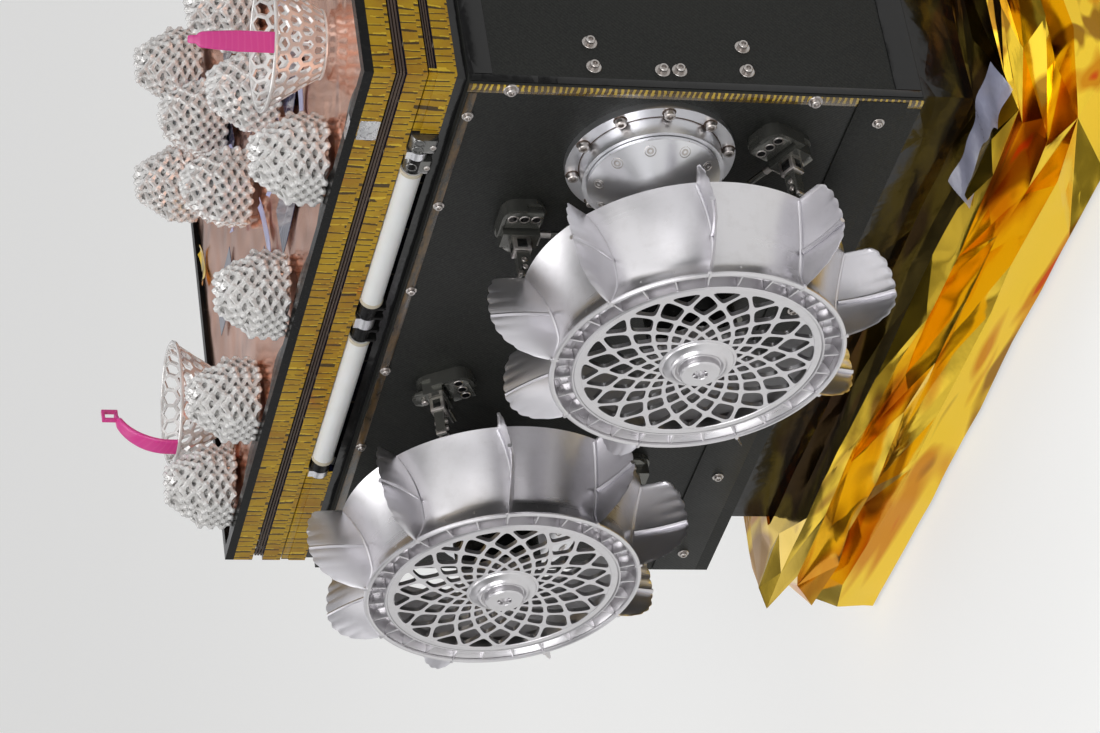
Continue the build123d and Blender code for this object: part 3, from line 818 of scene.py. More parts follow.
def drum_radius(at):
    """Outer radius of the drum at a distance from its back edge."""
    if at <= WAIST_AT:
        back = (at - DRUM_MID_AT) * (at - WAIST_AT) / (DRUM_MID_AT * WAIST_AT)
        middle = at * (at - WAIST_AT) / (DRUM_MID_AT * (DRUM_MID_AT - WAIST_AT))
        front = at * (at - DRUM_MID_AT) / (WAIST_AT * (WAIST_AT - DRUM_MID_AT))
        return BACK_RIM * back + DRUM_MID * middle + WAIST * front
    return WAIST + (LIP - WAIST) * ((at - WAIST_AT) / (WHEEL_WIDTH - WAIST_AT)) ** 1.4


def drum_profile(wall):
    """Closed outline of the drum's sheet: outside, rolled lip, channel, disc seat, inside."""
    outside = [(drum_radius(WHEEL_WIDTH * i / 16), WHEEL_WIDTH * i / 16) for i in range(16)]
    bead = 1.1 * MM
    turns = [radians(turn) for turn in range(-15, 226, 40)]
    lip = [
        (LIP - bead + bead * 1.4 * cos(turn), WHEEL_WIDTH - bead * 0.8 + bead * 1.2 * sin(turn))
        for turn in turns
    ]
    channel = [
        (WAIST - 0.4 * MM, CHANNEL_FLOOR + 1.5 * MM), (WAIST - 1.8 * MM, CHANNEL_FLOOR),
        (DISC_RADIUS + 2.6 * MM, CHANNEL_FLOOR), (DISC_RADIUS + 1.4 * MM, CHANNEL_FLOOR + 1.2 * MM),
        (DISC_RADIUS + 1.3 * MM, WHEEL_WIDTH - 0.3 * MM), (DISC_RADIUS + 0.6 * MM, WHEEL_WIDTH),
        (DISC_RADIUS, WHEEL_WIDTH - 0.2 * MM), (DISC_RADIUS, CHANNEL_FLOOR - wall),
    ]
    inside = [(drum_radius(WAIST_AT * i / 12) - wall, WAIST_AT * i / 12) for i in range(12, -1, -1)]
    return outside + lip + channel + inside


def paddle_edge(at):
    """Outer radius of a paddle across the wheel, with its shallow scallops."""
    at = at / MM
    for (start, low), (end, high) in zip(PADDLE_EDGE, PADDLE_EDGE[1:]):
        if at <= end:
            part = (at - start) / (end - start)
            return (low + (high - low) * part + 1.6 * sin(pi * part)) * MM
    return PADDLE_EDGE[-1][1] * MM


def paddle_shift(at, reach):
    """Sideways place of a paddle's sheet: round along its root, creased at its outer edge."""
    span = CREASE_AT if at < CREASE_AT else WHEEL_WIDTH - CREASE_AT
    away = min(1.0, abs(at - CREASE_AT) / span)
    root, tip = 5.6 * MM * (1 - away ** 2.0), CREASE_SHIFT * 1.2 * (1 - away ** 1.6)
    return -(root + (tip - root) * reach) - 1.2 * MM * sin(reach * pi) * (1 - away ** 2)


def paddle_sheet(thickness, waver):
    """One paddle's sheet, from the drum out to its scalloped edge."""
    part = bmesh.new()
    bmesh.ops.create_grid(part, x_segments=12, y_segments=56, size=0.5)
    start, depth = 0.9 * MM, WHEEL_WIDTH - 0.5 * MM
    for vert in part.verts:
        reach, at = vert.co.x + 0.5, start + (vert.co.y + 0.5) * (depth - start)
        inner, outer = drum_radius(at) - 0.6 * MM, paddle_edge(at)
        corner = max(0.0, 1 - at / (3.5 * MM)) ** 2 * reach ** 4 * 2.4 * MM
        turned_edge = 1.3 * MM * max(0.0, 1 - at / (3.0 * MM)) ** 2 * reach
        flutes = 0.05 * MM * reach ** 5 * sin(at / (6.4 * MM) * 2 * pi + waver)
        ripple = 0.35 * MM * reach * sin(reach * 4.0 + waver) * sin(at / depth * 11.0 + waver)
        radius = inner + (outer - inner) * reach - corner
        turn = (paddle_shift(at, reach) + ripple + flutes + turned_edge) / radius
        vert.co = Vector((radius * cos(turn), radius * sin(turn), at))
    bmesh.ops.solidify(part, geom=part.faces[:], thickness=thickness)
    return part


def paddle_beads(thickness):
    """The bead along a paddle's crease, and the one along its root on the drum."""
    crease, root = [], []
    for step in range(13):
        reach = 0.05 + 0.97 * step / 12
        radius = drum_radius(CREASE_AT) + (107.2 * MM - drum_radius(CREASE_AT)) * reach
        turn = (paddle_shift(CREASE_AT, reach) + thickness * 0.6) / radius
        crease.append((radius * cos(turn), radius * sin(turn), CREASE_AT))
    for step in range(29):
        at = 1.5 * MM + (WHEEL_WIDTH - 2.3 * MM) * step / 28
        radius = drum_radius(at) + 0.2 * MM
        turn = (paddle_shift(at, 0.0) + thickness / 2) / radius
        root.append((radius * cos(turn), radius * sin(turn), at))
    return tube(crease, 1.35 * MM), tube(root, 0.95 * MM, hint=(1, 0, 0))


def spiral_points(start, end):
    """Two points part of the way along a strut that runs as a spiral."""
    found = []
    for part in (1 / 3, 2 / 3):
        radius = start[0] ** (1 - part) * end[0] ** part
        turn = start[1] + (end[1] - start[1]) * part
        found.append((radius, turn))
    return found


def disc_lattice(strut, thickness):
    """The disc's web of struts: rhombic holes, with triangles round the outside."""
    count, step = 18, pi / 18
    rings = [LATTICE_EDGE] + [49.0 * MM * 0.805 ** k for k in range(6)]
    part = bmesh.new()
    known = {}

    def vert_at(radius, turn):
        """The vertex at a radius and turn, made once."""
        key = (round(radius * 1e6), round(turn / step * 1000) % (2 * count * 1000))
        if key not in known:
            known[key] = part.verts.new((radius * cos(turn), radius * sin(turn), 0))
        return known[key]

    def hole(*corners):
        """One hole of the sheet as a face, its sides along the spirals between its corners."""
        outline = []
        for corner, following in zip(corners, corners[1:] + corners[:1]):
            outline.append(vert_at(*corner))
            first, last = sorted((corner, following))
            between = spiral_points(first, last)
            points = between if first == corner else reversed(between)
            outline += [vert_at(*point) for point in points]
        part.faces.new(outline)

    for index in range(len(rings) - 2):
        for turn in range(1 - index % 2, 2 * count, 2):
            hole(
                (rings[index], turn * step), (rings[index + 1], (turn + 1) * step),
                (rings[index + 2], turn * step), (rings[index + 1], (turn - 1) * step),
            )
    for turn in range(0, 2 * count, 2):
        hole((rings[0], (turn - 1) * step), (rings[0], (turn + 1) * step), (rings[1], turn * step))

    bmesh.ops.recalc_face_normals(part, faces=part.faces)
    holes = part.faces[:]
    bmesh.ops.inset_individual(part, faces=holes, thickness=strut / 2, use_even_offset=True)
    bmesh.ops.delete(part, geom=holes, context="FACES_ONLY")
    rims = [edge for edge in part.edges if edge.is_boundary]
    bmesh.ops.subdivide_edges(part, edges=rims, cuts=1)
    rim_verts = [
        vert for vert in part.verts
        if vert.is_boundary and rings[-1] + 0.4 * MM < vert.co.length < LATTICE_EDGE - 0.4 * MM
    ]
    for _ in range(3):
        moved = []
        for vert in rim_verts:
            beside = [edge.other_vert(vert).co for edge in vert.link_edges if edge.is_boundary]
            moved.append(vert.co.lerp(sum(beside, Vector()) / len(beside), 0.5))
        for vert, place in zip(rim_verts, moved):
            vert.co = place
    bmesh.ops.solidify(part, geom=part.faces[:], thickness=thickness)
    return part


# Small parts of a wheel, and the thickness of its lattice
RIB_SIZE = (LIP - DISC_RADIUS - 4.0 * MM, 1.1 * MM, 6.6 * MM)
TAB_SIZE = (4.6 * MM, 2.0 * MM, 2.2 * MM)
TOOTH_SIZE = (1.7 * MM, 0.9 * MM, 1.9 * MM)
WEB_THICKNESS = 2.4 * MM

# Outline of the hub: radius, and height over the wheel's face, in millimetres
HUB_OUTLINE = (
    (20.4, -9.0), (20.4, -0.3), (19.9, 0.1), (19.0, 0.2), (18.4, 0.9), (15.4, 1.9), (14.6, 2.6),
    (14.2, 3.4), (13.5, 3.9), (12.7, 3.8), (12.1, 3.1), (11.5, 2.5), (11.0, 2.6), (10.7, 3.0),
    (10.7, 6.6), (9.9, 7.4), (4.2, 7.4), (3.9, 7.1), (3.4, 5.4), (0.0, 5.2), (0.0, -9.0),
)


def wheel_drum(corner, matrix, spun):
    """The thin drum, with the ribs in its channel and a tab over each paddle."""
    wall = sizes().drum_wall
    shell = lathe(drum_profile(wall), 144)
    # Inside faces behind the disc take the paler finish that paints the reflections inside the drum
    for face in shell.faces:
        middle = face.calc_center_median()
        behind_disc = middle.z < CHANNEL_FLOOR - 0.5 * wall
        if behind_disc and middle.xy.length < drum_radius(middle.z) - 0.6 * wall:
            face.material_index = 1
    bm = bmesh.new()
    join_part(bm, shell, matrix)
    rib_at = shift((DISC_RADIUS + LIP) / 2 - 0.6 * MM, 0, WHEEL_WIDTH - 4.2 * MM)
    tab_at = shift(LIP - 0.8 * MM, 0, WHEEL_WIDTH - 0.6 * MM)
    for index in range(RIBS):
        place = matrix @ spoke(index, RIBS)
        join_part(bm, block(RIB_SIZE, 0.3 * MM), place @ rib_at)
        if index % (RIBS // PADDLES) == 0:
            join_part(bm, block(TAB_SIZE, 0.6 * MM), place @ tab_at)
    drum = piece(
        "wheel_drum_" + corner, bm, "wheel_" + corner, "wheel_metal", spun, finish_of(drum_inside),
        smooth=34,
    )
    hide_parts("wheel_rim_" + corner)


def wheel_paddles(corner, matrix):
    """Nine paddles of creased sheet with their beads."""
    bm = bmesh.new()
    for index in range(PADDLES):
        place = matrix @ spoke(index, PADDLES)
        join_part(bm, paddle_sheet(sizes().paddle_sheet, index * 1.7), place)
        for bead in paddle_beads(sizes().paddle_sheet):
            join_part(bm, bead, place)
    paddles = piece(
        "wheel_paddles_" + corner, bm, "wheel_" + corner, "wheel_metal", finish_of(paddle_metal),
        smooth=38,
    )
    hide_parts("wheel_rim_" + corner)


def wheel_lattice(corner, matrix, spun):
    """The pierced disc in its thin rim."""
    web = disc_lattice(sizes().strut_width, WEB_THICKNESS)
    middle = sum(vert.co.z for vert in web.verts) / len(web.verts)
    bm = bmesh.new()
    join_part(bm, web, matrix @ shift(0, 0, WHEEL_WIDTH - 0.4 * MM - WEB_THICKNESS / 2 - middle))
    inner, outer = LATTICE_EDGE - 1.2 * MM, DISC_RADIUS - 0.1 * MM
    back, front = WHEEL_WIDTH - 0.5 * MM - WEB_THICKNESS, WHEEL_WIDTH - 0.1 * MM
    rim = [
        (inner, back), (outer, back), (outer, front - 0.3 * MM), (DISC_RADIUS - 0.6 * MM, front),
        (LATTICE_EDGE - 0.8 * MM, front), (inner, front - 0.4 * MM),
    ]
    join_part(bm, lathe(rim, 144), matrix)
    disc = piece("wheel_lattice_" + corner, bm, "wheel_" + corner, "wheel_metal", spun, smooth=30)
    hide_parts("wheel_disc_" + corner)


def wheel_hub(corner, matrix, spun):
    """The stepped hub, with six teeth round its socket."""
    bm = bmesh.new()
    join_part(bm, lathe(in_mm(HUB_OUTLINE), 64), matrix @ shift(0, 0, WHEEL_WIDTH))
    for index in range(6):
        place = matrix @ Matrix.Rotation(index * pi / 3, 4, "Z")
        tooth = block(TOOTH_SIZE, 0.15 * MM, 1)
        join_part(bm, tooth, place @ shift(3.3 * MM, 0, WHEEL_WIDTH + 6.2 * MM))
    hub = piece("wheel_hub_" + corner, bm, "wheel_" + corner, "wheel_metal", spun, smooth=28)
    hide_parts("wheel_cap_" + corner)


def wheel(corner):
    """Drum, paddles, lattice disc and hub of one wheel."""
    matrix = wheel_frame(corner)
    spun = finish_of(spun_metal, corner)
    wheel_drum(corner, matrix, spun)
    wheel_paddles(corner, matrix)
    wheel_lattice(corner, matrix, spun)
    wheel_hub(corner, matrix, spun)


# Body

# Screws: radius, height and the washer's radius
TOP_SCREW = (2.0 * MM, 1.6 * MM, 3.0 * MM)
LOWER_SCREW = (2.2 * MM, 1.6 * MM, 3.4 * MM)
RIDGE_SCREW = (2.6 * MM, 2.0 * MM, 4.0 * MM)
FRONT_BOLT = (2.5 * MM, 2.8 * MM, 4.0 * MM)

# Strips on the sides
RIDGE_WIDTH, TAPE_THICKNESS = 6.2 * MM, 0.5 * MM
DOUBLER_HEIGHT, DOUBLER_THICKNESS = 27.0 * MM, 1.0 * MM

# Bolts on the front panel: distance down from the deck and in from the side, in millimetres
FRONT_BOLTS = ((66, 29.5), (66, 13.7), (102, 13.0), (111, 13.4), (147, 30.5), (147, 14.6))


def panel_screws(name, spots, outward, screw_size):
    """A group of washered screws on one face; each spot is where its washer lies."""
    bm = bmesh.new()
    for spot in spots:
        join_part(bm, cap_screw(*screw_size), standing(spot, outward))
    piece(name, bm, "chassis", "shoulder_metal", finish_of(screw_steel), smooth=30)


def side_trim(side, name):
    """Ridge strip, top strip, lower doubler and screws of one side."""
    wall = side * -SIDE_Y
    height, length = BODY_TOP - BODY_BOTTOM, 2 * BODY_HALF_LENGTH
    ridge_x, middle_z = BODY_HALF_LENGTH - RIDGE_WIDTH / 2, (BODY_BOTTOM + BODY_TOP) / 2
    ridge = (RIDGE_WIDTH, TAPE_THICKNESS, height)
    top = (length - 14 * MM, TAPE_THICKNESS, 4.4 * MM)
    doubler = (length - 3 * MM, DOUBLER_THICKNESS, DOUBLER_HEIGHT)
    for strip, size, x, z, round_by, slot, build in (
        ("ridge_strip_", ridge, ridge_x, middle_z, 0.15 * MM, "array_edge", ridge_tape),
        ("top_strip_", top, 0, BODY_TOP - 3.2 * MM, 0.15 * MM, "array_edge", dull_tape),
        ("lower_doubler_", doubler, 0, BODY_BOTTOM + 21.5 * MM, 0.3 * MM, "panel_black", carbon_panel),
    ):
        bm = bmesh.new()
        join_part(bm, block(size, round_by), shift(x, wall + side * size[1] / 2, z))
        piece(strip + name, bm, "chassis", slot, finish_of(build))

    rows = (
        ("top_screws_", TOP_SCREW, TAPE_THICKNESS, [
            (25 + 74 * index, BODY_TOP - 4.0 * MM) for index in range(6)
        ]),
        ("lower_screws_", LOWER_SCREW, DOUBLER_THICKNESS, [
            (18 + 82 * index, BODY_BOTTOM + 20 * MM) for index in range(6)
        ]),
        ("ridge_screws_", RIDGE_SCREW, TAPE_THICKNESS, [
            (3.5, BODY_TOP - 22 * MM), (3.5, BODY_BOTTOM + 58 * MM),
        ]),
    )
    for row, screw, lift, places in rows:
        spots = [(BODY_HALF_LENGTH - back * MM, wall + side * lift, z) for back, z in places]
        panel_screws(row + name, spots, (0, side, 0), screw)


def front_trim():
    """Glossy black tape round the front panel, and its bolts."""
    bm = bmesh.new()
    height, middle_z = BODY_TOP - BODY_BOTTOM, (BODY_BOTTOM + BODY_TOP) / 2
    for side in (-1, 1):
        upright = block((0.4 * MM, 4.4 * MM, height - 1 * MM), 0.1 * MM)
        join_part(bm, upright, shift(FRONT_X + 0.2 * MM, side * (-SIDE_Y - 4.0 * MM), middle_z))
    for z, tall in ((BODY_TOP - 6.5 * MM, 12.0 * MM), (BODY_BOTTOM + 7.5 * MM, 14.0 * MM)):
        band = block((0.5 * MM, -2 * SIDE_Y - 13 * MM, tall), 0.1 * MM)
        join_part(bm, band, shift(FRONT_X + 0.25 * MM, 0, z))
    piece("front_border", bm, "chassis", "black_film", finish_of(black_film))
    spots = [
        (FRONT_X, side * (-SIDE_Y - inward * MM), BODY_TOP - down * MM)
        for down, inward in FRONT_BOLTS for side in (-1, 1)
    ]
    panel_screws("front_bolts", spots, (1, 0, 0), FRONT_BOLT)


# Shoulders: the flange's radius and face, and the circles on which the screws stand
FLANGE_RADIUS, FLANGE_FACE = 44.3 * MM, 4.0 * MM
FLANGE_SCREWS_AT, CONE_SCREWS_AT, CONE_SCREWS_OUT = 40.6 * MM, 29.6 * MM, 19.2 * MM
SHOULDER_SCREWS = 10
CONE_SLOPE = atan2(17.6, 26.5)

# Outlines on the shoulders, radius and height in millimetres
# Painted shadow disc under each flange screw, and a painted shade line for the flange's groove
SCREW_SHADOW_DISC = ((0.0, 0.25), (3.5, 0.25), (3.7, 0.0), (0.0, 0.0))
GROOVE_SHADE_LINE = ((37.0, -0.1), (37.0, 0.12), (37.5, 0.12), (37.5, -0.1))
CONE_CUP = (
    (2.9, -1.0), (3.1, 0.2), (2.8, 0.25), (2.5, -0.2), (1.9, -0.2), (1.8, 0.35),
    (0.9, 0.35), (0.8, -0.5), (0.0, -0.5), (0.0, -1.0),
)


def shoulder_centre(corner):
    """Where a shoulder's axis meets the side of the body, and which side that is."""
    low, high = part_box("shoulder_flange_" + corner)
    side = -1 if "right" in corner else 1
    x = high.x - FLANGE_RADIUS if "front" in corner else low.x + FLANGE_RADIUS
    return Vector((x, side * -SIDE_Y, (low.z + high.z) / 2)), side


def shoulder_screws(corner):
    """Cap screws round the flange, small screws sunk near the rim of the cone, and painted shade under
    the flange screws and in the groove.
    """
    centre, side = shoulder_centre(corner)
    outward = Vector((0, side, 0))
    face = centre + outward * FLANGE_FACE
    screws, marks, cone = bmesh.new(), bmesh.new(), bmesh.new()
    for index in range(SHOULDER_SCREWS):
        turn = radians(index * 360 / SHOULDER_SCREWS)
        at = standing(face + Vector((cos(turn), 0, sin(turn))) * FLANGE_SCREWS_AT, outward)
        join_part(screws, cap_screw(2.9 * MM, 3.4 * MM), at)
        # Painted shadow disc under the screw
        join_part(marks, lathe(in_mm(SCREW_SHADOW_DISC), 20), at)

        turn += radians(180 / SHOULDER_SCREWS)
        radial = Vector((cos(turn), 0, sin(turn)))
        spot = centre + radial * CONE_SCREWS_AT + outward * CONE_SCREWS_OUT
        at = standing(spot, radial * sin(CONE_SLOPE) + outward * cos(CONE_SLOPE), radial)
        join_part(cone, lathe(in_mm(CONE_CUP), 18), at)
        tick = block((3.2 * MM, 0.35 * MM, 0.3 * MM))
        join_part(cone, tick, at @ shift(4.6 * MM, 0, 0.1 * MM))
    # Painted shade line in the flange's groove
    join_part(marks, lathe(in_mm(GROOVE_SHADE_LINE), 96), standing(face, outward))
    for name, bm, body, build, smooth in (
        ("flange_screws_", screws, "chassis", screw_steel, 30),
        ("flange_marks_", marks, "chassis", brown_gap, 35),
        ("cone_screws_", cone, "leg_" + corner, screw_steel, 30),
    ):
        piece(name + corner, bm, body, "shoulder_metal", finish_of(build), smooth=smooth)


# Locks: how far they stand from the axle, and where round it, with the side of their feet
LOCK_AT = 85.0 * MM
LOCK_TURNS = {
    "front": ((90, -1), (210, -1), (330, 1)),
    "rear": ((30, -1), (150, 1), (270, -1)),
}

# Outlines on the locks, in millimetres
POCKET_RIM = ((2.1, 0.0), (2.2, 0.35), (2.7, 0.35), (2.9, 0.0))
# Dark disc of painted shade in each pocket's hollow
POCKET_SHADE_DISC = ((0.0, 0.1), (2.15, 0.1), (2.15, -0.2), (0.0, -0.2))
LOCK_LOBE = (
    (-4.5, -5.0), (5.0, -5.0), (6.5, -2.0), (6.5, 3.0), (3.0, 6.0), (-3.0, 6.0), (-5.5, 2.5),
)
LOBE_PIN = ((0.0, 0.0), (2.0, 0.0), (2.0, 2.8), (1.6, 3.2), (0.0, 3.2))


def lock_parts(lock, rim_side, steel, dark, holes):
    """Dress one lock; its own frame has the side of the body as its floor."""
    def add_block(bm, size, middle, round_by):
        """Add a block; all sizes are in millimetres."""
        join_part(bm, block([part * MM for part in size], round_by * MM), lock @ in_place(middle))

    def in_place(middle):
        """A shift in millimetres."""
        return shift(*(part * MM for part in middle))

    # Pad inside the foot's rim with three pockets in a row, their hollows dark discs of painted shade
    add_block(dark, (19.4, 13.0, 5.0), (0, rim_side * 13.0, 5.2), 0.8)
    for along in (-6.3, 0.0, 6.3):
        at = lock @ in_place((along, rim_side * 14.2, 7.7))
        join_part(steel, lathe(in_mm(POCKET_RIM), 20), at)
        join_part(holes, lathe(in_mm(POCKET_SHADE_DISC), 20), at)
    # Sleeve round the foot of the post, with a dark plate of painted shade for the window in each side
    add_block(steel, (9.6, 8.2, 9.0), (0, 0, 15.0), 0.5)
    add_block(holes, (10.0, 4.4, 5.4), (0, 0, 15.0), 0.3)
    add_block(holes, (5.4, 8.6, 5.4), (0, 0, 15.0), 0.3)
    # Bright square frame round a dark plate of painted shade for the hole at the end of the block
    add_block(steel, (0.8, 6.72, 8.4), (-10.1, 0, 6.9), 0.2)
    add_block(holes, (0.8, 4.96, 6.2), (-10.45, 0, 6.9), 0.2)
    # Bright screws low on the post, on both of its faces
    for height in (25.0, 29.5):
        for way in (-1, 1):
            turned = Matrix.Rotation(-way * pi / 2, 4, "X")
            screw = cap_screw(1.5 * MM, 0.8 * MM)
            join_part(steel, screw, lock @ in_place((0, way * 2.75, height)) @ turned)
    # Lobe beside the block, with its pivot pin
    lobe = plate(in_mm(LOCK_LOBE), 2.2 * MM, 0.35 * MM)
    join_part(dark, lobe, lock @ in_place((0, -rim_side * 8.0, 5.5)))
    join_part(steel, lathe(in_mm(LOBE_PIN), 16), lock @ in_place((0, -rim_side * 7.5, 7.0)))
    bolt, at = rod((-9.0 * MM, 0, 6.0 * MM), (-17.0 * MM, 0, 6.0 * MM), 1.95 * MM)
    join_part(steel, bolt, lock @ at)
    # Bright tips of the two prongs
    for along in (-2.7, 2.7):
        add_block(steel, (1.9, 5.8, 2.4), (along, 0, 33.2), 0.3)


def lock_trim(corner):
    """Screws, pockets with painted shade, bright prong tips and sleeves on the three wheel locks of one
    corner.
    """
    frame_at = wheel_frame(corner)
    frame_at.translation.y = SIDE_Y if "right" in corner else -SIDE_Y
    steel, dark, holes = bmesh.new(), bmesh.new(), bmesh.new()
    for turn, rim_side in LOCK_TURNS[corner.split("_")[0]]:
        lock = frame_at @ Matrix.Rotation(radians(turn), 4, "Z") @ shift(LOCK_AT, 0, 0)
        lock_parts(lock, rim_side, steel, dark, holes)
    for name, bm, slot, build, smooth in (
        ("lock_steel_", steel, "shoulder_metal", screw_steel, 30),
        # Dark plates of painted shade in the pockets, windows and holes
        ("lock_pockets_", holes, "lock_black", black_film, 35),
        ("lock_fittings_", dark, "lock_black", lock_metal, 30),
    ):
        piece(name + corner, bm, "chassis", slot, finish_of(build), smooth=smooth)


# Array and hinges

def film_bands(bm, length, bottom, top, matrix):
    """Folded film edges that fill a gap of the stack, seen as fine parallel lines."""
    count = 3
    rise = (top - bottom) / count
    for index in range(count):
        depth = (0.8 + 0.7 * (index % 2)) * MM
        band = block((length, depth, rise * 0.8), 0.25 * MM, 1)
        at = shift(0, -depth / 2, bottom + rise * (index + 0.5))
        join_part(bm, band, matrix @ at)


# Along the fixed panel's right edge: the notch for the root hinge, and the middle of the clip
HINGE_NOTCH = (-128.0 * MM, 178.5 * MM)
CLIP_FROM_FRONT, CLIP_LENGTH = 46.0 * MM, 15.0 * MM


def gap_films():
    """Film edges in the two gaps between the array panels."""
    low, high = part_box("array_panel_outer")
    mid_low, mid_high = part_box("array_panel_mid")
    fixed_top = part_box("array_panel_fixed")[1].z
    for body, bottom, top, name in (
        ("array_inner", mid_high.z + 0.1 * MM, low.z - 0.9 * MM, "outer_gap_film"),
        ("chassis", fixed_top + 0.1 * MM, mid_low.z - 0.9 * MM, "inner_gap_film"),
    ):
        bm = bmesh.new()
        half_turn = Matrix.Rotation(pi, 4, "Z")
        for turn in (-pi / 2, pi / 2):
            matrix = half_turn @ Matrix.Rotation(turn, 4, "Z") @ shift(0, high.x - 2.0 * MM, 0)
            film_bands(bm, 2 * (high.y - 2.2 * MM), bottom, top, matrix)
        if body == "array_inner":
            matrix = half_turn @ shift(0, -low.y - 1.5 * MM, 0)
            film_bands(bm, 2 * (high.x - 2.2 * MM), bottom, top, matrix)
        piece(name, bm, body, "black_film", finish_of(brown_gap), smooth=40)


def stack_tapes():
    """Tape over the closed gap beside the root hinge, and a clip over the outer panel's edge."""
    low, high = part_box("array_panel_outer")
    bm = bmesh.new()
    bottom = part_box("array_panel_fixed")[1].z - 0.2 * MM
    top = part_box("array_panel_mid")[0].z - 0.7 * MM
    for start, end in (
        (HINGE_NOTCH[1], high.x - 0.4 * MM), (0.4 * MM - high.x, HINGE_NOTCH[0]),
    ):
        filler = block((end - start, 4.0 * MM, top - bottom), 0.3 * MM)
        join_part(bm, filler, shift((start + end) / 2, low.y + 2.3 * MM, (bottom + top) / 2))
    piece("inner_gap_tape", bm, "chassis", "array_edge", finish_of(edge_tape))

    bm = bmesh.new()
    clip_x = high.x - CLIP_FROM_FRONT
    clip = block((CLIP_LENGTH, 0.5 * MM, high.z - low.z - 0.5 * MM), 0.2 * MM)
    join_part(bm, clip, shift(clip_x, low.y - 0.2 * MM, (low.z + high.z) / 2))
    clip = block((CLIP_LENGTH, 5.0 * MM, 0.4 * MM), 0.15 * MM)
    frame_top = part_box("array_frame")[1].z
    join_part(bm, clip, shift(clip_x, low.y + 2.0 * MM, frame_top + 0.2 * MM))
    piece("array_tape_clip", bm, "array_outer", "array_edge", finish_of(silver_tape))


# The root hinge's tubes: front and rear ends along X, in millimetres
TUBE_ENDS = ((149.0, 33.5), (1.5, -117.0))
HINGE_Y, HINGE_Z = -179.5 * MM, 354.0 * MM


# Root hinge: outline of its cheeks and housings as Y and Z from the axis, and which of
# them reach from where to where along X, in millimetres
CHEEK_OUTLINE = (
    (7.5, -8.2), (-4.3, -8.2), (-5.2, -7.0), (-5.2, -0.5), (-4.3, 4.0), (-1.5, 5.8), (3.0, 5.8),
    (7.5, 1.0),
)
HOUSINGS = ((176.5, 166.5), (159.8, 149.8))
CHEEKS = ((32.8, 30.6), (24.2, 22.2), (12.8, 10.8), (4.2, 2.2))
HOUSING_SCREWS = ((171.5, -6.0), (154.8, -6.0))
HOUSING_POCKETS = ((174.0, 1.6), (168.6, 1.6), (154.8, 2.0))

# Outlines of the bearing rings and of the pockets' rims: radius and height, in millimetres
BEARING_RING = ((5.2, 0.0), (6.25, 0.1), (6.4, 0.5), (6.4, 2.2), (6.2, 2.7), (5.2, 2.7))
HOUSING_POCKET = ((2.0, -0.4), (3.0, -0.4), (3.0, 0.3), (2.7, 0.55), (2.2, 0.3))


def hinge_plates(spans):
    """Plates across the root hinge's axis, all of one outline."""
    bm = bmesh.new()
    for front, rear in spans:
        part = plate(in_mm(CHEEK_OUTLINE), (front - rear) * MM, 0.4 * MM)
        at = Matrix(((0, 0, 1), (1, 0, 0), (0, 1, 0))).to_4x4()
        at.translation = Vector((rear * MM, HINGE_Y, HINGE_Z))
        join_part(bm, part, at)
    return bm


def hinge_trim():
    """Cream rings at the tubes' ends, black cheeks, and the front bracket's pocketed housing."""
    rings = bmesh.new()
    for ends in TUBE_ENDS:
        for end, inward in zip(ends, (-1, 1)):
            at = standing((end * MM, HINGE_Y, HINGE_Z), (inward, 0, 0))
            join_part(rings, lathe(in_mm(BEARING_RING), 40), at)
    cheeks, housings, screws = hinge_plates(CHEEKS), hinge_plates(HOUSINGS), bmesh.new()
    for x, z in HOUSING_SCREWS:
        at = standing((x * MM, HINGE_Y - 5.1 * MM, HINGE_Z + z * MM), (0, -1, 0))
        join_part(screws, cap_screw(1.7 * MM, 0.7 * MM), at)
    for x, z in HOUSING_POCKETS:
        spot = (x * MM, HINGE_Y - 4.9 * MM, HINGE_Z + z * MM)
        at = standing(spot, (0, -0.97, 0.25), (1, 0, 0))
        join_part(housings, lathe(in_mm(HOUSING_POCKET), 24), at)
    for name, bm, slot, build in (
        ("tube_rings", rings, "white_tube", cream_ring),
        ("hinge_cheeks", cheeks, "black_anodised", black_metal),
        ("hinge_housings", housings, "black_anodised", housing_metal),
        ("hinge_screws", screws, "shoulder_metal", screw_steel),
    ):
        piece(name, bm, "chassis", slot, finish_of(build), smooth=30)


# How far the copper film's edges bow in between its corners, how far its flat lies under
# the foil's top, and the height of its waves and how many fit in a metre
BOW_X, BOW_Y = 7.0 * MM, 8.0 * MM
FILM_BELOW, WAVE_LIMIT = 1.6 * MM, 1.2
WAVES = ((16, 0, 1.6), (60, 5, 0.5))

# Painted shade in the gaps along the frame's right edge: middle, length and width, in millimetres
FOIL_GAP_SHADES = (
    (-128, 74, 8.0), (-42, 58, 7.0), (34, 78, 6.0), (112, 62, 7.5), (186, 48, 5.0), (-196, 40, 5.0),
)


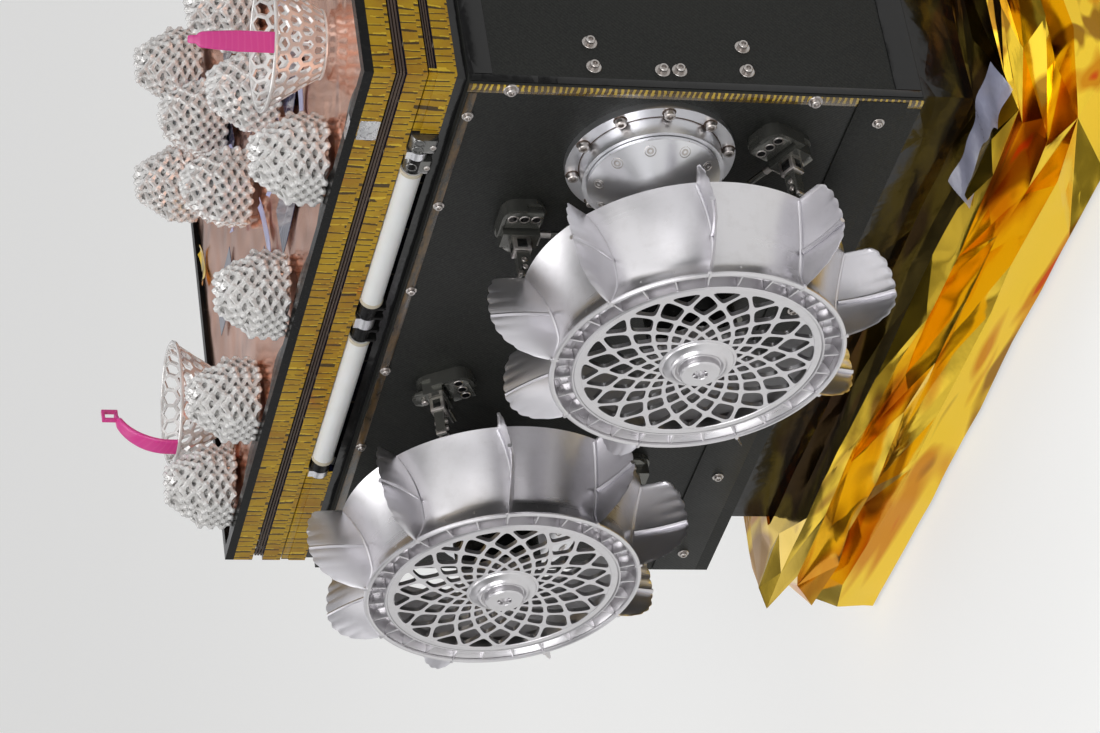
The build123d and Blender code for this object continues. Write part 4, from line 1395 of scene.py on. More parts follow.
def copper_sheet():
    """The copper film over the outer panel: bowed in between its corners and gently waved."""
    low, high = FOIL_LOW, FOIL_HIGH
    length, width = high.x - low.x, high.y - low.y
    bm = bmesh.new()
    bmesh.ops.create_grid(bm, x_segments=150, y_segments=120, size=0.5)
    noise_at = Vector((sizes().film_seed * 1.0, 3.0, 7.0))
    for vert in bm.verts:
        across, along = vert.co.y * 2, vert.co.x * 2
        bow_x = BOW_X * (1 - across ** 2) * (0.5 + 0.5 * sin(across * 9.0)) ** 2
        bow_y = BOW_Y * (1 - along ** 2) * (0.5 + 0.5 * sin(along * 11.0 + 1.0)) ** 2
        x = along * (length / 2 - bow_x * abs(along) ** 6)
        y = across * (width / 2 - bow_y * abs(across) ** 6)
        wave = sum(
            noise.noise(Vector((x * scale, y * scale, layer)) + noise_at) * height
            for scale, layer, height in WAVES
        )
        wave = max(-WAVE_LIMIT, min(WAVE_LIMIT, wave))
        edge = min(1.0, (1 - abs(along)) * 9, (1 - abs(across)) * 9)
        vert.co = Vector((x, y, high.z - FILM_BELOW + wave * MM * (0.35 + 0.65 * edge)))
    sheet = piece(
        "copper_sheet", bm, "array_outer", "copper_foil", finish_of(copper_film),
        smooth=60, recalculate=False,
    )
    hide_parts("copper_foil")


def thin_patch(length, width, lift, waver):
    """A thin rectangle of cell or tape that lies a little unevenly."""
    part = bmesh.new()
    bmesh.ops.create_grid(part, x_segments=12, y_segments=8, size=0.5)
    for vert in part.verts:
        x, y = vert.co.x, vert.co.y
        curl = lift * (abs(x * 2) ** 3 * (0.6 + 0.4 * sin(waver)) + 0.3 * sin(y * 5 + waver) * x)
        vert.co = Vector((x * length, y * width, curl))
    bmesh.ops.solidify(part, geom=part.faces[:], thickness=0.35 * MM)
    return part


# Cells and tapes on the copper film: x, y, length, width, turn, all in millimetres and degrees
CELLS = (
    (30, -110, 52, 34, 8), (-60, -105, 46, 30, -6), (70, -60, 44, 30, 20), (-10, 0, 50, 34, -12),
    (60, 60, 48, 32, 6), (-110, 30, 50, 34, 14), (-60, 85, 46, 30, -20), (130, 75, 44, 30, 10),
    (-150, -40, 48, 30, 0),
)
BLUE_TAPES = (
    (80, -100, 60, 9, 60), (20, -70, 50, 7, 40), (-30, -85, 44, 8, 100), (100, -20, 60, 9, -30),
    (-90, -10, 52, 8, 70), (30, 110, 40, 8, 15), (-140, 100, 46, 8, 120),
)
AMBER_TAPES = (
    (-170, -130, 34, 12, 30), (-150, -110, 30, 10, 80), (-205, -130, 22, 12, 0), (90, 155, 26, 10, 20),
    (175, -60, 24, 9, 70), (-205, 20, 24, 10, 90),
)


def foil_gaps():
    """Black slits of painted shade along the frame, where the bowed film's edge stands away from it."""
    bm = bmesh.new()
    for middle, length, width in FOIL_GAP_SHADES:
        outline = [(length * (k / 8 - 0.5) * MM, 0.6 * MM) for k in range(9)]
        outline += [
            (length * (0.5 - k / 8) * MM, (0.6 + width * sin(pi * k / 8) ** 1.4) * MM)
            for k in range(1, 8)
        ]
        shade_slit = plate(outline, 0.3 * MM)
        join_part(bm, shade_slit, shift(middle * MM, FOIL_LOW.y, FOIL_Z - 0.05 * MM))
    piece("foil_gaps", bm, "array_outer", "black_film", finish_of(black_film))


def film_face():
    """Solar cells and loose tapes on the copper film."""
    groups = (
        ("solar_cells", CELLS, 0.8, "panel_black", finish_of(blue_cell)),
        ("blue_tapes", BLUE_TAPES, 4.0, "copper_foil", finish_of(violet_tape)),
        ("amber_tapes", AMBER_TAPES, 5.0, "gold_blanket", finish_of(gold_film)),
    )
    for name, table, lift, slot, material in groups:
        bm = bmesh.new()
        for index, (x, y, length, width, turn) in enumerate(table):
            part = thin_patch(length * MM, width * MM, lift * MM, index * 2.1)
            at = shift(x * MM, y * MM, FOIL_Z + 0.1 * MM) @ Matrix.Rotation(radians(turn), 4, "Z")
            join_part(bm, part, at)
        piece(name, bm, "array_outer", slot, material, smooth=60)


# Absorbers and ring cups: a block's radius and height, the share of its height that is
# straight, its tip's share of the radius, and a bead's size next to its struts
ABSORBER_RADIUS, ABSORBER_HEIGHT = 24.0 * MM, 40.0 * MM
ABSORBER_STRAIGHT, ABSORBER_TIP = 0.45, 0.4
BEAD_SIZE = 1.75
ABSORBER_PLACES = (
    (119, -153, 0), (0, -153, 0), (-100, -153, 0), (-188, -153, 0),
    (37, -41, 15), (-58, -34, 30), (4, 45, 5), (110, 25, 20),
    (60, 125, 35), (-192, 72, 12), (-158, 137, 0), (-50, 130, 22),
    (150, 125, 8), (-100, 50, 30),
)
RING_PLACES = ((145, -97), (-186, -96))

# Ring cups: cells round and up, radius below and above, height, and outlines in millimetres
CUP_CELLS, CUP_ROWS = 22, 4
CUP_BASE, CUP_RIM, CUP_HEIGHT = 17.5 * MM, 36.0 * MM, 30.5 * MM
CUP_STRUT, CUP_WALL = 1.15 * MM, 1.9 * MM
CUP_BAND = (
    (35.2, 29.6), (36.7, 29.6), (37.0, 30.0), (37.0, 31.2), (36.6, 31.6), (35.3, 31.6), (34.9, 31.2),
)
CUP_FOOT = ((16.6, 0.0), (18.6, 0.0), (18.7, 0.7), (18.3, 1.0), (16.8, 1.0))


def absorber_reach(height, turn):
    """How far the six-sided block reaches at a height above the film, in a direction."""
    part = max(0.0, (height / ABSORBER_HEIGHT - ABSORBER_STRAIGHT) / (1 - ABSORBER_STRAIGHT))
    corner = cos(radians(30)) / cos(turn % radians(60) - radians(30))
    corner = corner ** 0.8
    return ABSORBER_RADIUS * corner * (1 - (1 - ABSORBER_TIP) * min(1.0, part))


def strut(start, end, radius):
    """Four-sided strut between two points, slimmer halfway, left open inside its beads."""
    sections = [
        round_section(start.lerp(end, share), end - start, radius * thick)
        for share, thick in ((0.0, 1.7), (0.5, 1.0), (1.0, 1.7))
    ]
    return sweep(sections, 4, capped=False)


def absorber_block(pitch, radius):
    """Printed lattice round a pale core of painted light: staggered beads tied to their neighbours."""
    part = bmesh.new()
    spots = {}
    bead_radius = BEAD_SIZE * radius
    layers = int((ABSORBER_HEIGHT - radius) / (pitch / 2)) + 1
    across = int(ABSORBER_RADIUS / pitch) + 1
    for level in range(layers):
        height = bead_radius + level * (ABSORBER_HEIGHT - 2 * bead_radius) / (layers - 1)
        stagger = 0.5 * (level % 2)
        for i in range(-across, across + 1):
            for j in range(-across, across + 1):
                spot = Vector(((i + stagger) * pitch, (j + stagger) * pitch, height))
                away = hypot(spot.x, spot.y)
                reach = absorber_reach(height, atan2(spot.y, spot.x)) - 0.8 * MM
                core = away < reach - 1.6 * pitch and level < layers - 3
                if away <= reach + 0.25 * pitch and not core:
                    if away > reach - pitch * 0.45:
                        spot.xy = spot.xy * (reach / away)
                    spots[(2 * i + level % 2, 2 * j + level % 2, level)] = spot
    bead = bmesh.new()
    bmesh.ops.create_icosphere(bead, subdivisions=1, radius=bead_radius)
    for key in sorted(spots):
        for dx in (-1, 1):
            for dy in (-1, 1):
                other = (key[0] + dx, key[1] + dy, key[2] + 1)
                if other in spots:
                    join_part(part, strut(spots[key], spots[other], radius), Matrix.Identity(4))
        join_part(part, bead.copy(), Matrix.Translation(spots[key]))
    bead.free()
    # Pale core that shows between the struts: painted light for what the clear resin scatters
    levels = [0.3 * MM + (ABSORBER_HEIGHT - pitch) * step / 6 for step in range(7)]
    profile = [(0.0, levels[0]), *((1.0, level) for level in levels), (0.0, levels[-1])]
    core = lathe(profile, 24)
    for vert in core.verts:
        if vert.co.xy.length > 0.5:
            reach = absorber_reach(vert.co.z, atan2(vert.co.y, vert.co.x)) - 1.05 * pitch
            vert.co.xy = vert.co.xy.normalized() * reach
    join_part(part, core, Matrix.Identity(4), 1)
    return part


def absorbers():
    """The printed blocks that stand on the copper film."""
    resin = finish_of(printed_lattice)
    scattered_light = finish_of(cloudy_resin)
    shape = absorber_block(sizes().absorber_pitch, sizes().absorber_strut)
    mesh = bpy.data.meshes.new("absorber_shape")
    shape.to_mesh(mesh)
    shape.free()
    chance = random.Random(4)
    rows = (("front", 0, 4), ("middle", 4, 8), ("left", 8, 11), ("rear", 11, 14))
    for name, first, last in rows:
        bm = bmesh.new()
        for x, y, turn in ABSORBER_PLACES[first:last]:
            part = bmesh.new()
            part.from_mesh(mesh)
            lean = Matrix.Rotation(radians(chance.uniform(-2, 2)), 4, "X")
            place = shift(x * MM, y * MM, FOIL_Z + 0.1 * MM)
            join_part(bm, part, place @ Matrix.Rotation(radians(turn), 4, "Z") @ lean)
        made = piece(
            "absorbers_" + name, bm, "array_outer", "absorber_lattice", resin, scattered_light,
            smooth=60, recalculate=False,
        )
        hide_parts("absorber_blocks")


def ring_cup():
    """A flared cup whose wall is pierced by rows of six-sided cells."""
    part = bmesh.new()
    known = {}

    def spot(around, up):
        """The vertex of a cell's corner, made once."""
        key = (round(around * 12) % (CUP_CELLS * 12), round(up * 12))
        if key not in known:
            level = up / (CUP_ROWS * 1.5 + 0.5)
            radius = CUP_BASE + (CUP_RIM - CUP_BASE) * level
            turn = around * 2 * pi / CUP_CELLS
            known[key] = part.verts.new((radius * cos(turn), radius * sin(turn), CUP_HEIGHT * level))
        return known[key]

    for row in range(CUP_ROWS):
        for index in range(CUP_CELLS):
            x, y = index + 0.5 * (row % 2), row * 1.5
            part.faces.new((
                spot(x, y), spot(x + 0.5, y + 0.5), spot(x + 0.5, y + 1.5),
                spot(x, y + 2.0), spot(x - 0.5, y + 1.5), spot(x - 0.5, y + 0.5),
            ))
    bmesh.ops.recalc_face_normals(part, faces=part.faces)
    cells = part.faces[:]
    bmesh.ops.inset_individual(part, faces=cells, thickness=CUP_STRUT, use_even_offset=True)
    bmesh.ops.delete(part, geom=cells, context="FACES_ONLY")
    bmesh.ops.solidify(part, geom=part.faces[:], thickness=CUP_WALL)
    return part


def ring_cups():
    """Two ring cups beside the blocks."""
    resin = finish_of(printed_lattice)
    for index, (x, y) in enumerate(RING_PLACES):
        at = shift(x * MM, y * MM, FOIL_Z + 0.4 * MM)
        bm = bmesh.new()
        join_part(bm, ring_cup(), at)
        join_part(bm, lathe(in_mm(CUP_BAND), 96), at)
        join_part(bm, lathe(in_mm(CUP_FOOT), 72), at)
        made = piece(f"ring_cup_{index + 1}", bm, "array_outer", "absorber_lattice", resin, smooth=40)
        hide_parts("absorber_rings")


# Hooks on the cups: ring, angle on its rim, straight rise, bend radius and bend, in
# millimetres and degrees, and the rim's middle radius
HOOKS = ((0, -40, 32.0, 60.0, 12.0), (1, -80, 4.0, 30.0, 80.0))
RIM_MIDDLE = 35.5 * MM

# Half a hook's width and how much it narrows, in millimetres, and the eye at its end
HOOK_WIDTH, HOOK_TAPER = 5.5, 1.9
EYE_SIZE, EYE_WALL = (8.6 * MM, 9.6 * MM, 2.4 * MM), 2.0 * MM


def hook_line(rise, bend_radius, bend):
    """Points up one hook, inward and upward from its foot, in millimetres."""
    length = rise + bend_radius * radians(bend)
    points = []
    for step in range(33):
        travelled = length * step / 32
        turn = max(0.0, travelled - rise) / bend_radius
        points.append((
            bend_radius * (1 - cos(turn)), min(travelled, rise) + bend_radius * sin(turn),
            turn, travelled / length,
        ))
    return points, length


def hook(rim_angle, rise, bend_radius, bend):
    """One printed hook: a rounded strip that narrows to a nub."""
    inward = Vector((-cos(radians(rim_angle)), -sin(radians(rim_angle)), 0))
    across = Vector((-inward.y, inward.x, 0))
    points, length = hook_line(rise, bend_radius, bend)
    sections = []
    for u, v, turn, share in points:
        left = (1 - share) * length
        half = HOOK_WIDTH - HOOK_TAPER * max(0.0, (share - 0.4) / 0.6) ** 1.3
        if left < 4.6:
            half = 2.2
        elif left < 7.0:
            half *= 0.66 + 0.34 * ((left - 4.6) / 2.4) ** 0.5
        rib = 0.05 if share > 0.55 and int(share * 40) % 2 else 0.0
        thick = (1.3 if left > 4.5 else 1.15) + rib
        if left < 0.6:
            half, thick = 1.7, 0.8
        ahead = inward * sin(turn) + Vector((0, 0, cos(turn)))
        flat = across.cross(ahead)
        section = Matrix((across * half * MM, flat * thick * MM, ahead)).transposed().to_4x4()
        section.translation = inward * u * MM + Vector((0, 0, v * MM))
        sections.append(section)
    return sweep(sections, 16, squareness=0.45, start=pi / 16), inward


def hook_loop(inward, place, rise, bend_radius, bend):
    """The square eye at the end of the bent hook, and where it goes."""
    u, v = hook_line(rise, bend_radius, bend)[0][-1][:2]
    part = bmesh.new()
    bmesh.ops.create_cube(part, size=1.0)
    bmesh.ops.scale(part, vec=EYE_SIZE, verts=part.verts)
    ends = [face for face in part.faces if abs(face.normal.z) > 0.9]
    bmesh.ops.inset_individual(part, faces=ends, thickness=EYE_WALL)
    bmesh.ops.bridge_loops(part, edges=[edge for face in ends for edge in face.edges])
    bmesh.ops.delete(part, geom=ends, context="FACES_ONLY")
    corners = [edge for edge in part.edges if edge.calc_face_angle(0.0) > 1.0]
    bmesh.ops.bevel(
        part, geom=corners, offset=0.4 * MM, segments=2, profile=0.5, affect="EDGES", material=-1,
    )
    across = Vector((-inward.y, inward.x, 0))
    at = standing(place + inward * (u - 0.5) * MM + Vector((0, 0, (v + 3.2) * MM)), across, inward)
    return part, at


def hooks():
    """The two pink hooks on the rims of the cups."""
    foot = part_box("ring_hooks")[0].z
    bm = bmesh.new()
    for ring, rim_angle, rise, bend_radius, bend in HOOKS:
        part, inward = hook(rim_angle, rise, bend_radius, bend)
        x, y = RING_PLACES[ring]
        place = Vector((x * MM, y * MM, foot)) - inward * RIM_MIDDLE
        join_part(bm, part, Matrix.Translation(place))
        if bend > 45:
            join_part(bm, *hook_loop(inward, place, rise, bend_radius, bend))
    made = piece("hooks", bm, "array_outer", "pink_plastic", finish_of(pink_plastic), smooth=45)
    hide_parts("ring_hooks")


# Gold film

# Profile of the film from under the body to the ground: share of the way out from the neck,
# height as a share of the film's top, and how far this row of creases stands out or in
FILM_ROWS = (
    (0.10, 1.02, 0.0), (0.42, 1.00, -2.0), (0.72, 1.02, 3.5), (0.93, 0.94, 4.0), (0.90, 0.78, -8.0),
    (1.00, 0.66, 5.0), (0.94, 0.53, -6.0), (1.00, 0.42, 4.5), (1.00, 0.03, 4.0),
)
FILM_CORNER = 34.0 * MM
FILM_COLUMNS, FILM_CUTS = 34, 7


def rim_point(distance, half, corner=FILM_CORNER):
    """Point and outward direction at a distance round the film's rounded outer edge."""
    start = Vector((half.x, -half.y + corner))
    heading = 0.0
    for length in (2 * (half.y - corner), 2 * (half.x - corner)) * 2:
        ahead = Vector((-sin(heading), cos(heading)))
        outward = Vector((cos(heading), sin(heading)))
        if distance <= length:
            return start + ahead * distance, outward
        distance -= length
        centre = start + ahead * length - outward * corner
        if distance <= corner * pi / 2:
            turn = heading + distance / corner
            outward = Vector((cos(turn), sin(turn)))
            return centre + outward * corner, outward
        distance -= corner * pi / 2
        heading += pi / 2
        start = centre + Vector((cos(heading), sin(heading))) * corner
    return start, outward


def film_row(bm, chance, around, level):
    """One row of the film's creases, uneven all the way round."""
    outer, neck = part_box("thermal_blanket")[1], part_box("adapter_neck")[1]
    share, rise, stand = FILM_ROWS[level]
    loose = 0.0 if level == 0 else 1.0
    calm = 0.25 if level >= len(FILM_ROWS) - 2 else 1.0
    row = []
    for column in range(FILM_COLUMNS):
        jitter = chance.uniform(-0.33, 0.33) * loose + 0.5 * (level % 2)
        rim, outward = rim_point(around * ((column + jitter) / FILM_COLUMNS % 1.0), outer)
        inner = Vector((max(-neck.x, min(neck.x, rim.x)), max(-neck.y, min(neck.y, rim.y))))
        spread = max(0.0, min(1.0, share + chance.uniform(-0.05, 0.03) * loose))
        out = stand * (1 + chance.uniform(-0.5, 0.3) * calm) + chance.uniform(-2.5, 2.5) * calm
        out = out * MM * loose
        flat = inner + (rim - inner) * spread + outward * min(out, 5.0 * MM)
        lift = chance.uniform(-3.0, 3.0) * MM * (loose if level < len(FILM_ROWS) - 1 else 0.1)
        row.append(bm.verts.new((flat.x, flat.y, max(0.8 * MM, outer.z * rise + lift))))
    return row


def join_rows(bm, chance, lower, upper):
    """Facets between two rows, split along either diagonal."""
    for column in range(FILM_COLUMNS):
        after = (column + 1) % FILM_COLUMNS
        first = (lower[column], lower[after])
        second = (upper[column], upper[after])
        if chance.random() < 0.5:
            bm.faces.new((first[0], second[0], second[1]))
            bm.faces.new((first[0], second[1], first[1]))
        else:
            bm.faces.new((first[0], second[0], first[1]))
            bm.faces.new((first[1], second[0], second[1]))


def crumple_film(bm):
    """Small sharp creases and soft dents in the film's facets."""
    bm.normal_update()
    seed_at = Vector((sizes().film_seed * 3.1, 0.0, 0.0))
    moves = []
    for vert in bm.verts:
        sway = noise.noise(vert.co * 14 + seed_at) * 0.9
        small = 0.55 * saw((vert.co.x * 0.5 + vert.co.y + vert.co.z * 1.2) / 0.061 + sway)
        small += 0.9 * noise.noise(vert.co * 11 + seed_at) + 0.45 * noise.noise(vert.co * 32 + seed_at)
        moves.append(vert.normal * small * sizes().crumple)
    for vert, move in zip(bm.verts, moves):
        vert.co += move
        vert.co.z = max(0.5 * MM, vert.co.z)


def gold_skirt():
    """The crumpled film round the adapter, tucked in under the body and out over the plate."""
    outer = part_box("thermal_blanket")[1]
    around = 4 * (outer.x + outer.y - 2 * FILM_CORNER) + 2 * pi * FILM_CORNER
    chance = random.Random(sizes().film_seed)
    bm = bmesh.new()
    rows = [film_row(bm, chance, around, level) for level in range(len(FILM_ROWS))]
    for lower, upper in zip(rows, rows[1:]):
        join_rows(bm, chance, lower, upper)
    bmesh.ops.recalc_face_normals(bm, faces=bm.faces)
    bmesh.ops.subdivide_edges(bm, edges=bm.edges[:], cuts=FILM_CUTS, use_grid_fill=True)
    crumple_film(bm)
    skirt = piece(
        "gold_skirt", bm, "chassis", "gold_blanket", finish_of(gold_film), smooth=9,
    )
    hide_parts("thermal_blanket")


def saw(value):
    """Triangle wave between -1 and 1, with sharp turns."""
    return 4 * abs(value - floor(value + 0.5)) - 1


def tape_on_film():
    """A loose strip of clear tape along the film's front right corner."""
    bm = bmesh.new()
    bmesh.ops.create_grid(bm, x_segments=24, y_segments=6, size=0.5)
    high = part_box("thermal_blanket")[1]
    for vert in bm.verts:
        along, across = vert.co.x + 0.5, vert.co.y
        x = (250 - 84 * along) * MM
        y = -(188 + 12 * along) * MM + across * 18 * MM
        bow = 1.6 * sin(along * 7.5) + 0.8 * sin(along * 19 + across * 4)
        z = high.z + (8.5 - 2.5 * along - 7.0 * (0.5 - across) + bow) * MM
        vert.co = Vector((x, y, z))
    made = piece("film_tape", bm, "chassis", "gold_blanket", finish_of(clear_film), smooth=50)


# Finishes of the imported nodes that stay

def dress_nodes():
    """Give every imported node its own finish."""
    locks = tuple("wheel_locks_" + corner for corner in CORNERS)
    body = (
        "side_panel_right", "side_panel_left", "front_panel", "rear_panel", "base_panel", "deck_panel",
    )
    for build, nodes in (
        (carbon_panel, body),
        (grey_unit, ("electronics_unit",)),
        (satin_metal, ("adapter_plate", "array_hinge_mid", "array_hinge_outer", "array_hinge_root")),
        (black_film, ("adapter_neck", "deck_band", "thermal_blanket")),
        (panel_edges, ("array_panel_fixed", "array_panel_mid", "array_panel_outer")),
        (black_metal, ("array_frame", "hinge_brackets")),
        (white_tube, ("hinge_tubes",)),
        (pink_plastic, ("ring_hooks",)),
        (copper_film, ("copper_foil",)),
        (printed_lattice, ("absorber_blocks", "absorber_rings")),
        (lock_metal, locks),
    ):
        for node in nodes:
            dress(node, finish_of(build))
    for corner in CORNERS:
        turned = finish_of(turned_metal, corner)
        for node in ("shoulder_flange_", "shoulder_cone_"):
            dress(node + corner, turned)
        dress("leg_" + corner, finish_of(black_metal))
        spun = finish_of(spun_metal, corner)
        for node in ("wheel_rim_", "wheel_disc_", "wheel_cap_"):
            dress(node + corner, spun)


def dress(node, material):
    """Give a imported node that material."""
    slots = NODES[node].data.materials
    slots.clear()
    slots.append(material)


def lock_metal(name):
    """Black anodised fittings with a faint olive sheen."""
    finish = Finish(name, (0.05, 0.052, 0.044), 0.22, 0.7)
    tone = finish.clouds(finish.place(), 45.0, 2.0)
    grain = finish.clouds(finish.place(scale=(0.2, 0.2, 1.0)), 800.0, 2.0)
    finish.set("Base Color", finish.mix(tone, (0.085, 0.088, 0.078), (0.19, 0.188, 0.172)))
    finish.set("Roughness", 0.18 + grain * 0.1)
    return finish


def housing_metal(name):
    """Dark grey machined housings and leaves of the array's root hinge."""
    finish = Finish(name, (0.09, 0.09, 0.085), 0.2, 0.8)
    tone = finish.clouds(finish.place(), 50.0, 2.0)
    grain = finish.clouds(finish.place(scale=(0.2, 1.0, 1.0)), 700.0, 2.0)
    finish.set("Base Color", finish.mix(tone, (0.10, 0.10, 0.096), (0.24, 0.238, 0.23)))
    finish.set("Roughness", 0.16 + grain * 0.1)
    return finish


def cloudy_resin(name):
    """Pale core inside the printed blocks, seen between the struts: painted light that stands in for
    light scattered in the clear resin.
    """
    finish = Finish(name, (0.50, 0.46, 0.44), 0.3, Subsurface_Weight=0.2)
    tone = finish.clouds(finish.place(), 160.0, 3.0)
    finish.set("Base Color", finish.mix(tone, (0.34, 0.31, 0.30), (0.56, 0.52, 0.50)))
    return finish


def drum_inside(name):
    """Inside of the drums, paler and duller than their metal: painted reflection of the light seen
    through the lattice.
    """
    finish = Finish(name, (0.80, 0.79, 0.80), 0.5, 0.15)
    stains = finish.clouds(finish.place(), 30.0, 4.0)
    finish.set("Base Color", finish.mix(stains, (0.86, 0.85, 0.86), (0.66, 0.64, 0.66)))
    finish.set("Roughness", 0.40 + stains * 0.2)
    return finish


def paddle_metal(name):
    """Thin satin sheet with long soft brush marks and a few dull smears."""
    finish = Finish(name, colours().wheel, 0.32, 1.0)
    point = finish.place()
    brushed = finish.clouds(finish.place(scale=(1.0, 0.12, 1.0)), 380.0, 4.0, 0.6)
    smears = finish.clouds(point, 26.0, 4.0, 0.6)
    finish.set("Base Color", finish.mix(smears, (0.76, 0.745, 0.775), (0.62, 0.61, 0.635)))
    finish.set("Roughness", 0.26 + brushed * 0.12 + smears * 0.10)
    finish.relief(brushed + smears, 0.05, 0.0004)
    return finish


# Stage, light and camera

CAMERA_PLACE = Vector((1.7021, -1.4137, 0.8001))
CAMERA_RIGHT = Vector((0.2183, -0.1320, -0.9669))
CAMERA_UP = Vector((0.5774, 0.8163, 0.0189))
CAMERA_AHEAD = Vector((-0.7868, 0.5624, -0.2544))
LENS = 129.7

# Middle of the rover, which the lamps look at; the floor's size, and how far it lies below
ROVER_MIDDLE = Vector((0, 0, 0.24))
FLOOR_SIZE, FLOOR_DROP = 6.0, 0.5 * MM

# Lamps: name, direction from the rover, distance, size and power
LAMPS = (
    ("key_lamp", (0.75, 0.25, 0.75), 2.4, 2.2, 15), ("side_lamp", (0.55, -0.8, 0.55), 2.4, 1.4, 21),
    ("top_lamp", (-0.3, -0.35, 1.0), 2.2, 1.2, 12),
)


def photo_camera():
    """The camera of the photograph: turned on its side, close to level."""
    lens = bpy.data.cameras.new("photo_camera")
    lens.lens = LENS
    lens.sensor_width = 36.0
    lens.clip_start = 0.05
    camera = bpy.data.objects.new("photo_camera", lens)
    bpy.context.scene.collection.objects.link(camera)
    matrix = Matrix((CAMERA_RIGHT, CAMERA_UP, -CAMERA_AHEAD)).transposed().to_4x4()
    matrix.translation = CAMERA_PLACE
    camera.matrix_world = matrix
    bpy.context.scene.camera = camera


def soft_light(name, toward, distance, size, power):
    """A large square lamp that looks at the middle of the rover."""
    lamp = bpy.data.lights.new(name, "AREA")
    lamp.shape = "SQUARE"
    lamp.size = size
    lamp.energy = power
    made = bpy.data.objects.new(name, lamp)
    bpy.context.scene.collection.objects.link(made)
    spot = ROVER_MIDDLE + Vector(toward).normalized() * distance
    made.matrix_world = standing(spot, Vector(toward))


def studio_world():
    """Pale round the camera's view, with soft darker parts for metal to reflect."""
    world = bpy.data.worlds.new("studio")
    bpy.context.scene.world = world
    room = Shading(world)
    point = room.node("ShaderNodeTexCoord", output="Generated")
    patches = room.node("ShaderNodeTexNoise", {}, {"Vector": point, "Scale": 1.9, "Detail": 1.0})
    shade = patches.ramp((0.42, (0.16, 0.16, 0.1632)), (0.60, (1.0, 1.0, 1.02)))
    camera_ray = room.ray("Camera")
    pale = camera_ray.either(room.ray("Glossy").either(room.ray("Transmission")))
    background = room.tree.nodes["Background"]
    room.join(background.inputs["Color"], room.mix(camera_ray, shade, (0.86, 0.86, 0.85)))
    strength = {"Value": pale, "To Min": 0.45, "To Max": 1.0}
    room.join(background.inputs["Strength"], room.node("ShaderNodeMapRange", {}, strength))


def studio():
    """Pale floor, soft lamps, world and camera."""
    bm = bmesh.new()
    bmesh.ops.create_grid(bm, x_segments=2, y_segments=2, size=FLOOR_SIZE)
    mesh = bpy.data.meshes.new("floor")
    bm.to_mesh(mesh)
    bm.free()
    mesh.materials.append(finish_of(pale_stage))
    floor = bpy.data.objects.new("floor", mesh)
    floor.location.z = -FLOOR_DROP
    bpy.context.scene.collection.objects.link(floor)
    for lamp in LAMPS:
        soft_light(*lamp)
    studio_world()
    photo_camera()
    bpy.context.scene.view_settings.view_transform = "Standard"


# Operators: one for each group of pieces, and one for the stage

class ROVER_OT_body(bpy.types.Operator):
    """Finish the body and its trim, screws and shoulders"""
    bl_idname = "rover.body"
    bl_label = "Body and shoulders"
    bl_options = {"REGISTER", "UNDO"}

    def execute(self, context):
        dress_nodes()
        side_trim(-1, "right")
        side_trim(1, "left")
        front_trim()
        for corner in CORNERS:
            shoulder_screws(corner)
            lock_trim(corner)
        return {"FINISHED"}


class ROVER_OT_wheels(bpy.types.Operator):
    """Build the four paddled wheels"""
    bl_idname = "rover.wheels"
    bl_label = "Wheels"
    bl_options = {"REGISTER", "UNDO"}

    def execute(self, context):
        for corner in CORNERS:
            wheel(corner)
        return {"FINISHED"}


class ROVER_OT_array(bpy.types.Operator):
    """Build the films, cells and tapes of the folded array"""
    bl_idname = "rover.array"
    bl_label = "Folded array"
    bl_options = {"REGISTER", "UNDO"}

    def execute(self, context):
        gap_films()
        stack_tapes()
        hinge_trim()
        copper_sheet()
        film_face()
        foil_gaps()
        return {"FINISHED"}


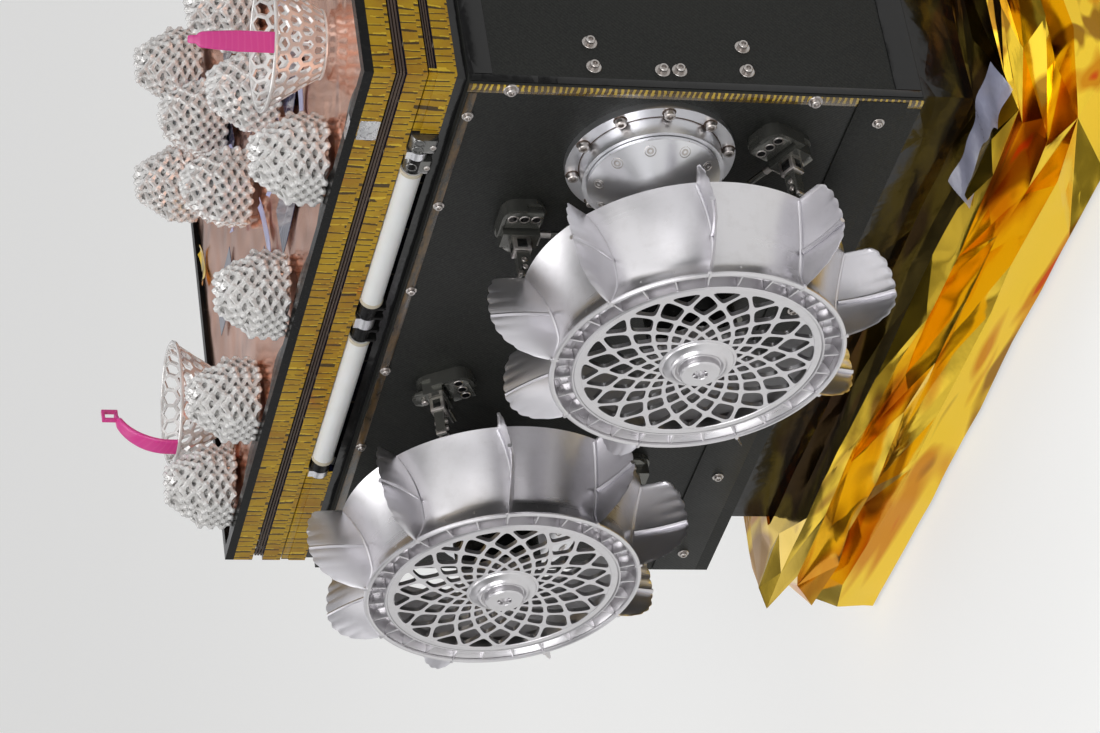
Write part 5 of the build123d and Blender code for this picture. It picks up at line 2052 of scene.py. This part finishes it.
class ROVER_OT_absorbers(bpy.types.Operator):
    """Build the printed absorbers and ring cups"""
    bl_idname = "rover.absorbers"
    bl_label = "Absorbers"
    bl_options = {"REGISTER", "UNDO"}

    def execute(self, context):
        absorbers()
        ring_cups()
        hooks()
        return {"FINISHED"}


class ROVER_OT_film(bpy.types.Operator):
    """Wrap the adapter in crumpled gold film"""
    bl_idname = "rover.film"
    bl_label = "Gold film"
    bl_options = {"REGISTER", "UNDO"}

    def execute(self, context):
        gold_skirt()
        tape_on_film()
        return {"FINISHED"}


class ROVER_OT_stage(bpy.types.Operator):
    """Set up the floor, lamps, world and camera"""
    bl_idname = "rover.stage"
    bl_label = "Stage and camera"
    bl_options = {"REGISTER", "UNDO"}

    def execute(self, context):
        studio()
        return {"FINISHED"}


class ROVER_PT_sidebar(bpy.types.Panel):
    """Sizes, colours and the steps that build the rover"""
    bl_idname = "ROVER_PT_sidebar"
    bl_label = "Stowed rover"
    bl_space_type = "VIEW_3D"
    bl_region_type = "UI"
    bl_category = "Rover"

    def draw(self, context):
        for group in (context.scene.rover_sizes, context.scene.rover_colours):
            for name in group.__annotations__:
                self.layout.prop(group, name)
        for step in STEPS:
            self.layout.operator(step.bl_idname)


STEPS = (
    ROVER_OT_body, ROVER_OT_wheels, ROVER_OT_array, ROVER_OT_absorbers, ROVER_OT_film, ROVER_OT_stage,
)
CLASSES = (RoverSizes, RoverColours, *STEPS, ROVER_PT_sidebar)


def register():
    """Add the panel, its settings and the steps."""
    for item in CLASSES:
        bpy.utils.register_class(item)
    bpy.types.Scene.rover_sizes = PointerProperty(type=RoverSizes)
    bpy.types.Scene.rover_colours = PointerProperty(type=RoverColours)


def unregister():
    """Take them away again."""
    del bpy.types.Scene.rover_colours
    del bpy.types.Scene.rover_sizes
    for item in reversed(CLASSES):
        bpy.utils.unregister_class(item)


def main():
    """Build everything, in order."""
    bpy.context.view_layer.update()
    register()
    bpy.ops.rover.body()
    bpy.ops.rover.wheels()
    bpy.ops.rover.array()
    bpy.ops.rover.absorbers()
    bpy.ops.rover.film()
    bpy.ops.rover.stage()


if __name__ == "__main__":
    main()
